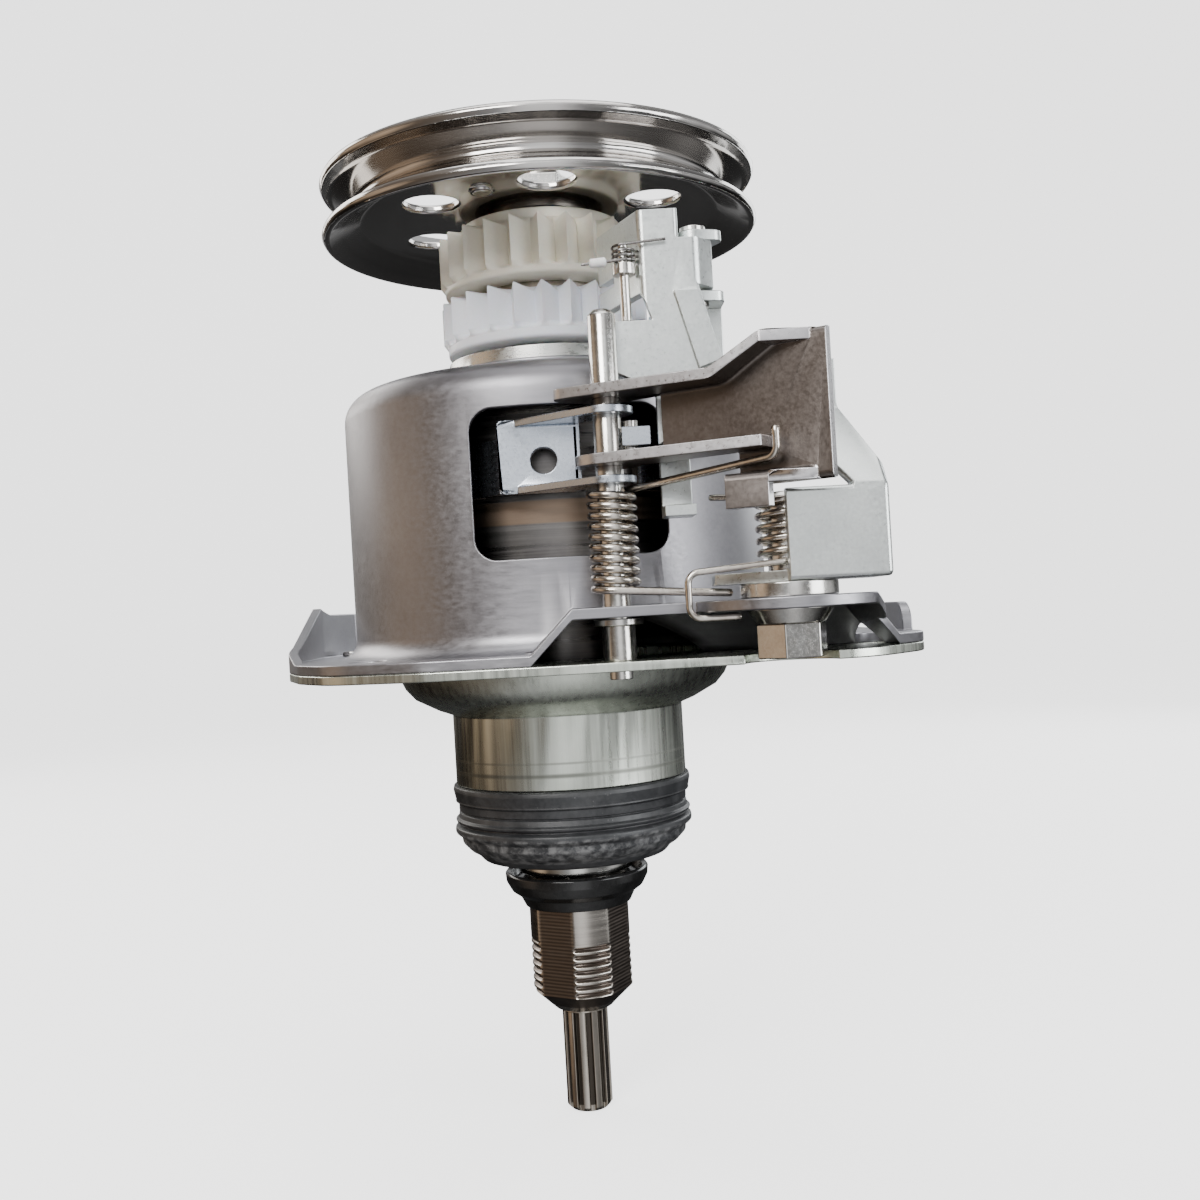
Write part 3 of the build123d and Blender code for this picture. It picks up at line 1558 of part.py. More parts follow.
def make_pawl():
    with BuildPart() as body:
        face_y = plate_y
        with BuildSketch(Plane.XZ.offset(-face_y)):
            with BuildLine():
                Polyline(
                    (plate_low_left, foot_z),
                    (plate_low_right, foot_z),
                    (plate_low_right, plate_neck_z),
                    (rib_low, plate_step_z),
                    (plate_right, plate_right_z),
                    (pawl_x, knuckle_low),
                    (pawl_x, knuckle_high),
                    (finger_x + pawl_t, knuckle_high),
                    (finger_x + pawl_t, head_top_z),
                    (head_left, head_top_z),
                    (head_left, head_low_z),
                    (neck_left, plate_top_z),
                    (plate_left, plate_top_z),
                    (plate_left, plate_step_z),
                    (plate_low_left, plate_step_z - knuckle_r),
                    close=True,
                )
            make_face()
        extrude(amount=-pawl_t)
        # knuckle: the edge of the plate curls back round the pin
        with BuildSketch(Plane.XY.offset(knuckle_low)):
            with Locations((pawl_x, pawl_y)):
                Circle(knuckle_r)
            with BuildLine():
                Polyline(
                    (pawl_x - knuckle_r, pawl_y),
                    (pawl_x - knuckle_r, face_y),
                    (pawl_x, face_y),
                    (pawl_x + knuckle_r, pawl_y - knuckle_r + pawl_t / 2),
                    (pawl_x + knuckle_r, pawl_y),
                    close=True,
                )
            make_face()
        extrude(amount=knuckle_high - knuckle_low)
        # bent side on the left of the head, with a gap between its two ends
        way = (Vector(cheek_end_x, cheek_y) - Vector(head_left, face_y)).normalized()
        across = Vector(way.Y, -way.X)
        near = Vector(head_left, face_y)
        far = Vector(cheek_end_x, cheek_y)
        gap_start = far - way * cheek_gap_l
        for start, low, high in (
            (near, head_low_z, cheek_gap_low),
            (near, cheek_gap_high, head_top_z),
        ):
            with BuildSketch(Plane.XY.offset(low)):
                with BuildLine():
                    Polyline(start, far, far + across * pawl_t, start + across * pawl_t, close=True)
                make_face()
            extrude(amount=high - low)
        with BuildSketch(Plane.XY.offset(cheek_gap_low)):
            with BuildLine():
                Polyline(near, gap_start, gap_start + across * pawl_t, near + across * pawl_t, close=True)
            make_face()
        extrude(amount=cheek_gap_high - cheek_gap_low)
        # side plate with the two fingers and their toes
        with BuildSketch(Plane.YZ.offset(finger_x)):
            with BuildLine():
                Polyline(
                    (face_y, finger_low_z),
                    (finger_back, finger_low_z),
                    (finger_back, finger_gap_low),
                    (finger_gap_front, finger_gap_low),
                    (finger_gap_front, finger_gap_high),
                    (finger_back, finger_gap_high),
                    (finger_back, finger_high_z),
                    (face_y, head_top_z),
                    close=True,
                )
            make_face()
        extrude(amount=pawl_t)
        for low, high in ((finger_low_z, finger_gap_low), (finger_gap_high, finger_high_z)):
            with BuildSketch(Plane.XY.offset(low)):
                with BuildLine():
                    Polyline(
                        (finger_x, finger_back),
                        (toe_x, finger_back),
                        (finger_x, finger_back - toe_l),
                        close=True,
                    )
                make_face()
            extrude(amount=high - low)
        # foot tab at the end of the tail
        with BuildSketch(Plane.XY.offset(foot_z)):
            with Locations(((plate_low_left + plate_low_right) / 2, foot_front)):
                Rectangle(
                    plate_low_right - plate_low_left,
                    face_y + pawl_t - foot_front,
                    align=(Align.CENTER, Align.MIN),
                )
        extrude(amount=pawl_t)
        # pressed rib across the plate
        with BuildSketch(Plane.XZ.offset(-face_y)):
            with BuildLine():
                Polyline(
                    (rib_top, knuckle_low - rib_h),
                    (rib_top + rib_w, knuckle_low - rib_h),
                    (plate_right, plate_right_z),
                    (rib_low, plate_step_z),
                    close=True,
                )
            make_face()
        extrude(amount=rib_h)
        with BuildSketch(Plane((pawl_x, pawl_y, knuckle_low))):
            Circle(pawl_pin_r + pin_fit)
        extrude(amount=knuckle_high - knuckle_low, mode=Mode.SUBTRACT)
    made(body, "pawl_arm")
    ear_low = knuckle_low - soft_gap - bracket_t
    ear_high = knuckle_high + soft_gap + bracket_t
    with BuildPart() as pin:
        with BuildSketch(Plane((pawl_x, pawl_y, ear_low - pawl_pin_head_h))):
            Circle(pawl_pin_r)
        extrude(amount=ear_high - ear_low + pawl_pin_head_h)
        with BuildSketch(Plane((pawl_x, pawl_y, ear_high))):
            Circle(pawl_pin_head_r)
        extrude(amount=pawl_pin_head_h)
    made(pin, "pawl_pin")
    with BuildPart() as clip:
        with BuildSketch(Plane((pawl_x, pawl_y, ear_low - pawl_pin_head_h))):
            Circle(pawl_pin_head_r)
            Circle(pawl_pin_r, mode=Mode.SUBTRACT)
        extrude(amount=pawl_pin_head_h)
    made(clip, "pawl_clip")
    with BuildPart() as stud:
        with BuildSketch(Plane((trip_pin_x, plate_y + pawl_t / 2, plate_top_z))):
            Circle(trip_pin_r)
        extrude(amount=trip_pin_h)
        collar_top = trip_coil_z - trip_wire_r - soft_gap / 2
        with BuildSketch(Plane((trip_pin_x, plate_y + pawl_t / 2, collar_top - trip_collar_h))):
            Circle(trip_collar_r)
        extrude(amount=trip_collar_h)
    made(stud, "trip_pin")


def make_springs():
    # brake spring on the pivot pin: it climbs clockwise from the front
    start = -90.0
    turns = brake_coil_turns - (brake_leg_turn + 90 - start) / 360
    marks = half_turns((pin_x, pin_y), brake_coil_r, brake_coil_z, brake_coil_pitch, start, turns, -1)
    (first, first_way), (last, last_way) = marks[0], marks[-1]
    tip = last + last_way * brake_high_leg
    hook = run_of([last, tip, tip + Vector(0, 0, brake_hook_h)], brake_hook_r)
    pieces = [("line", first - first_way * brake_low_leg, first, None)]
    pieces += coil_pieces(marks) + hook
    made(wound(brake_wire_r, pieces), "brake_spring")
    free_gap("brake_spring", (pin_x, pin_y), brake_coil_r, brake_coil_pitch, brake_wire_r)
    # pawl spring round the bracket bolt: it climbs counterclockwise from the front
    turns = pawl_coil_turns + (pawl_leg_turn - 90 - start) / 360
    marks = half_turns((bolt_x, bolt_y), pawl_coil_r, spring_low_z, pawl_coil_pitch, start, turns, 1)
    (first, first_way), (last, last_way) = marks[0], marks[-1]
    corner = first - first_way * pawl_low_leg
    lower = Vector(corner.X, corner.Y, pawl_hook_z)
    hook = run_of([lower + Vector(pawl_hook_l, 0, 0), lower, corner, first], pawl_hook_r)
    pieces = hook + coil_pieces(marks) + [("line", last, last + last_way * pawl_leg_l, None)]
    made(wound(pawl_wire_r, pieces), "pawl_spring")
    free_gap("pawl_spring", (bolt_x, bolt_y), pawl_coil_r, pawl_coil_pitch, pawl_wire_r)
    # thin trip spring on the stud of the pawl
    stud_y = plate_y + pawl_t / 2
    marks = half_turns((trip_pin_x, stud_y), trip_coil_r, trip_coil_z, trip_coil_pitch, start, trip_turns, 1)
    (first, first_way), (last, last_way) = marks[0], marks[-1]
    pieces = [("line", first - first_way * trip_leg_l, first, None)]
    pieces += coil_pieces(marks) + [("line", last, last + last_way * trip_leg_l, None)]
    made(wound(trip_wire_r, pieces), "trip_spring")
    free_gap("trip_spring", (trip_pin_x, stud_y), trip_coil_r, trip_coil_pitch, trip_wire_r)


make_spin_tube()
make_brake_drum()
make_drum_cover()
make_cover_screws()
make_bushes("tube_bushes", tube_end_z + tube_mouth_l + lip_seal_l, drum_floor_z)
make_bushes("sleeve_bushes", sleeve_low_z, sleeve_head_top)
mouth_top = tube_end_z + tube_mouth_l
made(tube(lip_seal_r, shaft_r + running_fit, mouth_top, mouth_top + lip_seal_l), "shaft_seal")
made(tube(journal_r, tube_r, v_ring_top, journal_top), "seal_sleeve")
made(
    turned([
        (tube_r, v_ring_top - v_ring_h),
        (v_ring_r - v_ring_lip, v_ring_top - v_ring_h),
        (v_ring_r, v_ring_top - v_ring_h / 2),
        (v_ring_r, v_ring_top - v_ring_lip / 2),
        (v_ring_r - v_ring_lip, v_ring_top),
        (tube_r, v_ring_top),
    ]),
    "v_ring",
)
made(
    tube(clutch_spring_r, sleeve_head_r, clutch_spring_z, clutch_spring_z + clutch_spring_h),
    "clutch_spring",
)
make_lower_ratchet()
make_upper_ratchet()
lower_bearing_low = lower_bearing_top - lower_bearing_w
make_bearing("lower_bearing", tube_r, lower_bearing_r, lower_bearing_low, lower_bearing_w)
make_bearing("upper_bearing", upper_bearing_bore, upper_bearing_r, upper_bearing_bottom, upper_bearing_w)
make_input_shaft()
for i in range(planet_count):
    make_planet(i)
make_ring_gear()
make_carrier()
make_wash_shaft()
make_pulley()
make_pulley_hub_and_nut()
make_bearing_housing()
make_water_seal()
make_case_shell()
made(make_tie_rivets(), "tie_rivets")
make_pivot_pin()
make_brake_lever()
make_offset_pin()
make_band()
make_clevis()
make_bracket()
make_bolt()
make_pawl()
make_springs()
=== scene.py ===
import json
import logging
import math
from dataclasses import dataclass, field
from enum import Enum
from typing import Callable, Iterable, Optional, Sequence, Union

import bmesh
import bpy
import numpy as np
from mathutils import Matrix, Vector
from mathutils.bvhtree import BVHTree

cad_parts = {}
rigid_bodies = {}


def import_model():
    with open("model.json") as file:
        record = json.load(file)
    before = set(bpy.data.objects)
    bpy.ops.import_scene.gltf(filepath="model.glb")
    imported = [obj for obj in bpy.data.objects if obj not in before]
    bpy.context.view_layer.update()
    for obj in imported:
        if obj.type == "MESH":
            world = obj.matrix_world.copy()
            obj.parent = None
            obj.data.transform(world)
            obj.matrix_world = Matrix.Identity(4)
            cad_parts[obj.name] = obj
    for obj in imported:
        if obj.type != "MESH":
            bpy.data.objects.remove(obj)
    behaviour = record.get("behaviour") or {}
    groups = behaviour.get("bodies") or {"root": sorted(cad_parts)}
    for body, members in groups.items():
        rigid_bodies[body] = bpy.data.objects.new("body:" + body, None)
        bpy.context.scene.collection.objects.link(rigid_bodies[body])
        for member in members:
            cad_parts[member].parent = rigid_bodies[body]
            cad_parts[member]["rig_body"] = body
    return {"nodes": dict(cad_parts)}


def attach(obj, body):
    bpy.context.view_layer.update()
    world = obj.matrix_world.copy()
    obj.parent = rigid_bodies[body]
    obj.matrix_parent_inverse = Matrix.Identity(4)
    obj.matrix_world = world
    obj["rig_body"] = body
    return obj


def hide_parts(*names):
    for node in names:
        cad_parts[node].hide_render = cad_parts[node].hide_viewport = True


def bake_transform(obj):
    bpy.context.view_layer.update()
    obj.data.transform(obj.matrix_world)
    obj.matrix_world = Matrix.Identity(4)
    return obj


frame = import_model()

LOG = logging.getLogger("clutch_scene")
MM = 0.001
Colour = tuple[float, float, float]
Point = tuple[float, float, float]
Corner = tuple[float, ...]
Span = tuple[float, float]
Noise = tuple[float, float, float]
Range = tuple[float, float, float, float]
Socket = bpy.types.NodeSocket
Value = Union[Socket, float, Colour]
Rings = tuple[np.ndarray, np.ndarray]
Wave = Callable[[np.ndarray, np.ndarray, np.ndarray], Rings]


# Finishes


class Grain(Enum):
    """Which way the fine lines of a worked surface run."""

    DRAWN = "along the main axis"
    TURNED = "round the main axis"
    ROLLED = "even in all directions"
    BRUSHED = "along X"


@dataclass(frozen=True)
class Band:
    """A stretch of heights and distances from the main axis, in millimetres, with another colour."""

    low: float
    high: float
    blur: float
    colour: Colour
    share: float
    rough: float
    patchy: bool = False
    inner: float = 0.0
    outer: float = 0.0


@dataclass(frozen=True)
class Finish:
    """What a material looks like.

    Scales are in features for each metre. The roughness lies between its two numbers, as the
    grain goes. Spots, dust and bands are layers that lie on some finishes, in this order.
    """

    name: str
    colour: Colour
    stain: Colour
    rough: Span = (0.2, 0.4)
    metallic: float = 1.0
    grain: Grain = Grain.ROLLED
    grain_scale: float = 900.0
    grain_depth: float = 0.15
    grain_tint: float = 0.25
    stain_scale: float = 45.0
    stain_share: float = 0.5
    dust: float = 0.0
    dust_colour: Colour = (0.75, 0.75, 0.72)
    subsurface: float = 0.0
    spots: float = 0.0
    spot_colour: Colour = (0.75, 0.75, 0.72)
    turned_gloss: float = 0.0
    bands: tuple[Band, ...] = ()


@dataclass
class MaterialMaker:
    """Builds node materials from finishes and hands each one out once.

    A texture is the detail and the roughness of a noise whose scale the finish gives. A noise
    has its scale as well, in features for each metre. A mark is the two values of a noise
    between which something comes in.
    """

    lined_texture: Span = (3.0, 0.7)
    rolled_texture: Span = (3.0, 0.6)
    line_stretch: float = 0.02
    brush_stretch: float = 0.03
    tint_span: Span = (0.3, 0.7)
    tint_rise: float = 0.6
    rough_span: Span = (0.25, 0.75)
    stain_texture: Span = (4.0, 0.6)
    stain_middle: float = 0.5
    stain_below: float = 0.35
    stain_above: float = 0.3
    fine_texture: Span = (2.0, 0.6)
    fine_scale: float = 2.1
    relief: Span = (0.7, 0.3)
    relief_depth: float = 0.0001
    speck_scale: float = 1400.0
    speck_mark: Span = (0.1, 0.18)
    speck_noise: Noise = (500.0, 2.0, 0.5)
    speck_field: Span = (0.58, 0.66)
    speck_rough: float = 0.4
    dust_noise: Noise = (160.0, 6.0, 0.7)
    dust_mark: Span = (0.45, 0.75)
    dust_rough: float = 0.35
    patch_noise: Noise = (420.0, 5.0, 0.7)
    patch_mark: Span = (0.42, 0.62)
    light_depth: float = 0.002
    made: dict[str, bpy.types.Material] = field(default_factory=dict)

    def get(self, finish: Finish) -> bpy.types.Material:
        """Return the material of a finish, building it the first time.

        Args:
            finish: What the surface looks like.
        Returns:
            The Blender material.
        """
        if finish.name not in self.made:
            self.made[finish.name] = self._build(finish)
        return self.made[finish.name]

    def _build(self, finish: Finish) -> bpy.types.Material:
        """Make a material: the grained and stained ground first, and then each layer on it.

        Args:
            finish: What the surface looks like.
        Returns:
            The new material.
        """
        material = bpy.data.materials.new(finish.name)
        material.use_nodes = True
        material.node_tree.nodes.clear()
        net = Net(material.node_tree)
        where = net.add("ShaderNodeTexCoord").outputs["Object"]
        grain = self._grain(net, where, finish)
        base, rough = self._ground(net, where, grain, finish)
        for mask, colour, rougher in self._layers(net, where, finish):
            base = net.mix(mask, base, colour)
            rough = net.math("ADD", rough, net.math("MULTIPLY", mask, rougher))
        shader = self._shader(net, finish)
        net.link(base, shader.inputs["Base Color"])
        net.link(rough, shader.inputs["Roughness"])
        net.link(self._relief(net, where, grain, finish), shader.inputs["Normal"])
        out = net.add("ShaderNodeOutputMaterial")
        net.link(shader.outputs["BSDF"], out.inputs["Surface"])
        return material

    def _grain(self, net: "Net", where: Socket, finish: Finish) -> Socket:
        """Noise stretched along the lines of the working: the place is pressed together along them.

        Args:
            net: Where the nodes go.
            where: Place on the object.
            finish: What the surface looks like.
        Returns:
            The noise, from 0 to 1.
        """
        if finish.grain is Grain.ROLLED:
            return net.noise(where, finish.grain_scale, *self.rolled_texture)
        x, y, z = net.split(where)
        if finish.grain is Grain.DRAWN:
            pressed = net.join(x, y, net.math("MULTIPLY", z, self.line_stretch))
        elif finish.grain is Grain.BRUSHED:
            pressed = net.join(net.math("MULTIPLY", x, self.brush_stretch), y, z)
        else:
            pressed = net.join(net.radius(x, y), z, net.math("MULTIPLY", x, self.line_stretch))
        return net.noise(pressed, finish.grain_scale, *self.lined_texture)

    def _ground(self, net: "Net", where: Socket, grain: Socket, finish: Finish) -> tuple[Socket, Socket]:
        """The two colours of the bare surface in soft stains, shaded and roughened by the grain.

        Args:
            net: Where the nodes go.
            where: Place on the object.
            grain: Noise along the lines of the working.
            finish: What the surface looks like.
        Returns:
            The colour and the roughness.
        """
        stain = net.noise(where, finish.stain_scale, *self.stain_texture)
        low = self.stain_middle - self.stain_below * finish.stain_share
        stained = net.ramp(stain, low, self.stain_middle + self.stain_above)
        dark, light = 1.0 - finish.grain_tint, 1.0 + finish.grain_tint * self.tint_rise
        shade = net.remap(grain, *self.tint_span, dark, light)
        base = net.scale_colour(net.mix(stained, finish.colour, finish.stain), shade)
        return base, net.remap(grain, *self.rough_span, *finish.rough)

    def _layers(self, net: "Net", where: Socket, finish: Finish) -> list[tuple[Socket, Colour, float]]:
        """What lies on the ground: specks, dust, and then each band.

        Args:
            net: Where the nodes go.
            where: Place on the object.
            finish: What the surface looks like.
        Returns:
            How much of each layer shows, its colour, and the roughness that it adds.
        """
        layers = []
        if finish.spots > 0:
            speck = net.ramp(net.voronoi(where, self.speck_scale), *self.speck_mark, falling=True)
            some = net.ramp(net.noise(where, *self.speck_noise), *self.speck_field)
            mask = net.math("MULTIPLY", net.math("MULTIPLY", speck, some), finish.spots)
            layers.append((mask, finish.spot_colour, self.speck_rough))
        if finish.dust > 0:
            cloud = net.ramp(net.noise(where, *self.dust_noise), *self.dust_mark)
            layers.append((net.math("MULTIPLY", cloud, finish.dust), finish.dust_colour, self.dust_rough))
        for band in finish.bands:
            layers.append((self._band(net, where, band), band.colour, band.rough))
        return layers

    def _band(self, net: "Net", where: Socket, band: Band) -> Socket:
        """How much of a band shows: ramps at its ends, broken up by noise where it is patchy.

        Args:
            net: Where the nodes go.
            where: Place on the object.
            band: Where the band lies.
        Returns:
            Its mask, from 0 to its share.
        """
        x, y, height = net.split(where)
        low, high, blur = band.low * MM, band.high * MM, band.blur * MM
        mask = net.math("MULTIPLY", net.remap(height, low, low + blur, 0.0, 1.0),
                        net.remap(height, high - blur, high, 1.0, 0.0))
        radius = net.radius(x, y)
        if band.inner > 0:
            inner = band.inner * MM
            mask = net.math("MULTIPLY", mask, net.remap(radius, inner - blur, inner, 0.0, 1.0))
        if band.outer > 0:
            outer = band.outer * MM
            mask = net.math("MULTIPLY", mask, net.remap(radius, outer, outer + blur, 1.0, 0.0))
        if band.patchy:
            broken = net.noise(where, *self.patch_noise)
            mask = net.math("MULTIPLY", mask, net.remap(broken, *self.patch_mark, 0.0, 1.0))
        return net.math("MULTIPLY", mask, band.share)

    def _shader(self, net: "Net", finish: Finish) -> bpy.types.Node:
        """The shader, with the gloss of turned metal or the soft light of plastic where it has them.

        Args:
            net: Where the nodes go.
            finish: What the surface looks like.
        Returns:
            The shader, whose colour, roughness and normal are still open.
        """
        shader = net.add("ShaderNodeBsdfPrincipled")
        shader.inputs["Metallic"].default_value = finish.metallic
        if finish.turned_gloss > 0:
            round_about = net.add("ShaderNodeTangent")
            round_about.direction_type = "RADIAL"
            round_about.axis = "Z"
            shader.inputs["Anisotropic"].default_value = finish.turned_gloss
            net.link(round_about.outputs["Tangent"], shader.inputs["Tangent"])
        if finish.subsurface > 0:
            shader.inputs["Subsurface Weight"].default_value = finish.subsurface
            shader.inputs["Subsurface Scale"].default_value = self.light_depth
        return shader

    def _relief(self, net: "Net", where: Socket, grain: Socket, finish: Finish) -> Socket:
        """Bumps from the grain and, to a smaller share, from a finer noise.

        Args:
            net: Where the nodes go.
            where: Place on the object.
            grain: Noise along the lines of the working.
            finish: What the surface looks like.
        Returns:
            The bumped normal.
        """
        fine = net.noise(where, finish.grain_scale * self.fine_scale, *self.fine_texture)
        coarse, fine = (net.math("MULTIPLY", one, share) for one, share in zip((grain, fine), self.relief))
        bump = net.add("ShaderNodeBump")
        bump.inputs["Strength"].default_value = finish.grain_depth
        bump.inputs["Distance"].default_value = self.relief_depth
        net.link(net.math("ADD", coarse, fine), bump.inputs["Height"])
        return bump.outputs["Normal"]


class Net:
    """Short names for adding and linking shader nodes."""

    def __init__(self, tree: bpy.types.NodeTree) -> None:
        """Keep the tree that the nodes go into."""
        self.tree = tree

    def add(self, kind: str) -> bpy.types.Node:
        """Add a node of a kind."""
        return self.tree.nodes.new(kind)

    def link(self, source: Value, target: Socket) -> None:
        """Join an output, or set a number or colour, on an input.

        Args:
            source: The output, number or colour.
            target: The input.
        """
        if isinstance(source, (int, float)):
            target.default_value = source
        elif isinstance(source, tuple):
            target.default_value = (*source, 1.0)
        else:
            self.tree.links.new(source, target)

    def math(self, operation: str, first: Value, second: Optional[Value] = None) -> Socket:
        """One math node of one or two values.

        Args:
            operation: Blender's name for it.
            first: The first value.
            second: The second, where the operation has one.
        Returns:
            The result.
        """
        node = self.add("ShaderNodeMath")
        node.operation = operation
        self.link(first, node.inputs[0])
        if second is not None:
            self.link(second, node.inputs[1])
        return node.outputs[0]

    def split(self, vector: Socket) -> tuple[Socket, Socket, Socket]:
        """Take a vector apart.

        Args:
            vector: The vector.
        Returns:
            Its x, y and z.
        """
        node = self.add("ShaderNodeSeparateXYZ")
        self.link(vector, node.inputs[0])
        return node.outputs[0], node.outputs[1], node.outputs[2]

    def join(self, x: Value, y: Value, z: Value) -> Socket:
        """Put a vector together.

        Args:
            x: Its first part.
            y: Its second part.
            z: Its third part.
        Returns:
            The vector.
        """
        node = self.add("ShaderNodeCombineXYZ")
        for value, socket in zip((x, y, z), node.inputs):
            self.link(value, socket)
        return node.outputs[0]

    def radius(self, x: Value, y: Value) -> Socket:
        """Distance from the main axis: the root of the two squares added."""
        square = self.math("ADD", self.math("MULTIPLY", x, x), self.math("MULTIPLY", y, y))
        return self.math("SQRT", square)

    def noise(self, where: Socket, scale: float, detail: float, rough: float) -> Socket:
        """Fractal noise.

        Args:
            where: Place to look it up at.
            scale: Features for each metre.
            detail: How many finer copies are added.
            rough: How strong the finer copies are.
        Returns:
            The noise, from 0 to 1.
        """
        node = self.add("ShaderNodeTexNoise")
        node.inputs["Scale"].default_value = scale
        node.inputs["Detail"].default_value = detail
        node.inputs["Roughness"].default_value = rough
        self.link(where, node.inputs["Vector"])
        return node.outputs["Fac"]

    def voronoi(self, where: Socket, scale: float) -> Socket:
        """Distance to scattered points, of which a metre has as many as the scale says.

        Args:
            where: Place to look it up at.
            scale: Points for each metre.
        Returns:
            The distance, in spacings.
        """
        node = self.add("ShaderNodeTexVoronoi")
        node.inputs["Scale"].default_value = scale
        self.link(where, node.inputs["Vector"])
        return node.outputs["Distance"]

    def ramp(self, value: Value, low: float, high: float, falling: bool = False) -> Socket:
        """Run between nothing and all, in grey.

        Args:
            value: What the ramp reads.
            low: Value at which it starts.
            high: Value at which it ends.
            falling: Whether it falls from 1 to 0, not rises from 0 to 1.
        Returns:
            The grey.
        """
        node = self.add("ShaderNodeValToRGB")
        start, end = node.color_ramp.elements
        start.position = max(0.0, low)
        end.position = min(1.0, high)
        start.color = (1, 1, 1, 1) if falling else (0, 0, 0, 1)
        end.color = (0, 0, 0, 1) if falling else (1, 1, 1, 1)
        self.link(value, node.inputs["Fac"])
        return node.outputs["Color"]

    def remap(self, value: Value, low: float, high: float, to_low: float, to_high: float) -> Socket:
        """Map one range of values evenly to another, and stop at its ends.

        Args:
            value: What is mapped.
            low: Start of its range.
            high: End of its range.
            to_low: What the start becomes.
            to_high: What the end becomes.
        Returns:
            The mapped value.
        """
        node = self.add("ShaderNodeMapRange")
        for socket, number in zip(node.inputs[1:5], (low, high, to_low, to_high)):
            socket.default_value = number
        self.link(value, node.inputs[0])
        return node.outputs[0]

    def mix(self, share: Value, first: Value, second: Value) -> Socket:
        """Blend two colours.

        Args:
            share: How much of the second there is, from 0 to 1.
            first: The first colour.
            second: The second colour.
        Returns:
            The blend.
        """
        node = self.add("ShaderNodeMix")
        node.data_type = "RGBA"
        names = {socket.identifier: socket for socket in node.inputs}
        self.link(share, node.inputs["Factor"])
        self.link(first, names["A_Color"])
        self.link(second, names["B_Color"])
        return next(socket for socket in node.outputs if socket.identifier == "Result_Color")

    def scale_colour(self, colour: Value, amount: Value) -> Socket:
        """Multiply a colour by a value.

        Args:
            colour: The colour.
            amount: The value.
        Returns:
            The lighter or darker colour.
        """
        node = self.add("ShaderNodeVectorMath")
        node.operation = "SCALE"
        self.link(colour, node.inputs[0])
        self.link(amount, node.inputs["Scale"])
        return node.outputs[0]


ZINC = Finish("housing_zinc", (0.78, 0.81, 0.73), (0.62, 0.66, 0.57), (0.20, 0.38), grain=Grain.DRAWN,
              grain_scale=620, grain_tint=0.20, stain_scale=60, dust=0.08, turned_gloss=0.35,
              bands=(Band(-14.6, -13.2, 0.5, (0.16, 0.16, 0.14), 0.7, 0.2),
                     Band(-11.4, -10.6, 0.3, (0.25, 0.25, 0.22), 0.5, 0.2)))
CASE = Finish("case_steel", (0.39, 0.385, 0.405), (0.29, 0.285, 0.305), (0.30, 0.46), grain=Grain.BRUSHED,
              grain_scale=1100, grain_depth=0.08, grain_tint=0.10, stain_scale=26, spots=0.25, dust=0.06,
              bands=(Band(80.9, 83.9, 0.3, (0.66, 0.66, 0.63), 1.0, -0.1, outer=27.0),
                     Band(84.5, 88.0, 0.3, (0.70, 0.70, 0.67), 1.0, -0.1, outer=27.0),
                     # The last band is painted shade: within 50 mm of the axis, between heights 14 and 78
                     # mm, the inside of the case is darkened almost to black.
                     Band(14.0, 78.0, 2.0, (0.05, 0.045, 0.045), 0.85, 0.1, outer=50.0)))
SHEET = Finish("bracket_zinc", (0.74, 0.77, 0.75), (0.60, 0.63, 0.62), (0.24, 0.42), grain=Grain.ROLLED,
               grain_scale=1300, grain_depth=0.09, grain_tint=0.08, stain_scale=80, dust=0.04)
LEVER = Finish("lever_steel", (0.24, 0.215, 0.20), (0.17, 0.15, 0.14), (0.30, 0.46), grain=Grain.ROLLED,
               grain_scale=1300, grain_depth=0.09, grain_tint=0.10, stain_scale=60)
# The lever's sheared edges are lighter than its faces: partly bare cut metal, partly a painted highlight
# along the edges.
SHEARED_AND_HIGHLIT = Finish("sheared_edge_and_highlight", (0.68, 0.67, 0.68), (0.55, 0.53, 0.54), (0.24, 0.38), grain=Grain.ROLLED,
                 grain_scale=1300, grain_depth=0.09, grain_tint=0.08, stain_scale=120)
PULLEY = Finish("pulley_zinc", (0.60, 0.58, 0.56), (0.44, 0.42, 0.40), (0.08, 0.16), grain=Grain.TURNED,
                grain_scale=420, grain_depth=0.05, grain_tint=0.07, stain_scale=22, spots=0.10,
                turned_gloss=0.45)
BRIGHT = Finish("bright_pin", (0.72, 0.71, 0.68), (0.55, 0.52, 0.48), (0.12, 0.26), grain_scale=1500,
                grain_depth=0.08, grain_tint=0.08, stain_scale=200)
WIRE = Finish("spring_wire", (0.66, 0.62, 0.56), (0.46, 0.40, 0.34), (0.14, 0.28), grain_scale=1500,
              grain_depth=0.08, grain_tint=0.12, stain_scale=240)
THIN_WIRE = Finish("trip_wire", (0.30, 0.29, 0.28), (0.20, 0.18, 0.17), (0.2, 0.35), grain_scale=1800,
                   grain_depth=0.05, grain_tint=0.12, stain_scale=300)
TURNED = Finish("machined_steel", (0.50, 0.47, 0.43), (0.34, 0.31, 0.28), (0.18, 0.34), grain=Grain.TURNED,
                grain_scale=1300, grain_depth=0.2, grain_tint=0.18, stain_scale=80, dust=0.05)
TUBE = Finish("tube_steel", (0.60, 0.56, 0.51), (0.46, 0.42, 0.37), (0.14, 0.28), grain=Grain.TURNED,
              grain_scale=1100, grain_depth=0.10, grain_tint=0.16, stain_scale=70, dust=0.04,
              turned_gloss=0.4,
              # The band is painted shade: the flats, within 12.15 mm of the axis, are coloured a dark
              # brown-grey.
              bands=(Band(-74.0, -44.0, 0.4, (0.13, 0.105, 0.09), 0.92, 0.14, outer=12.15),))
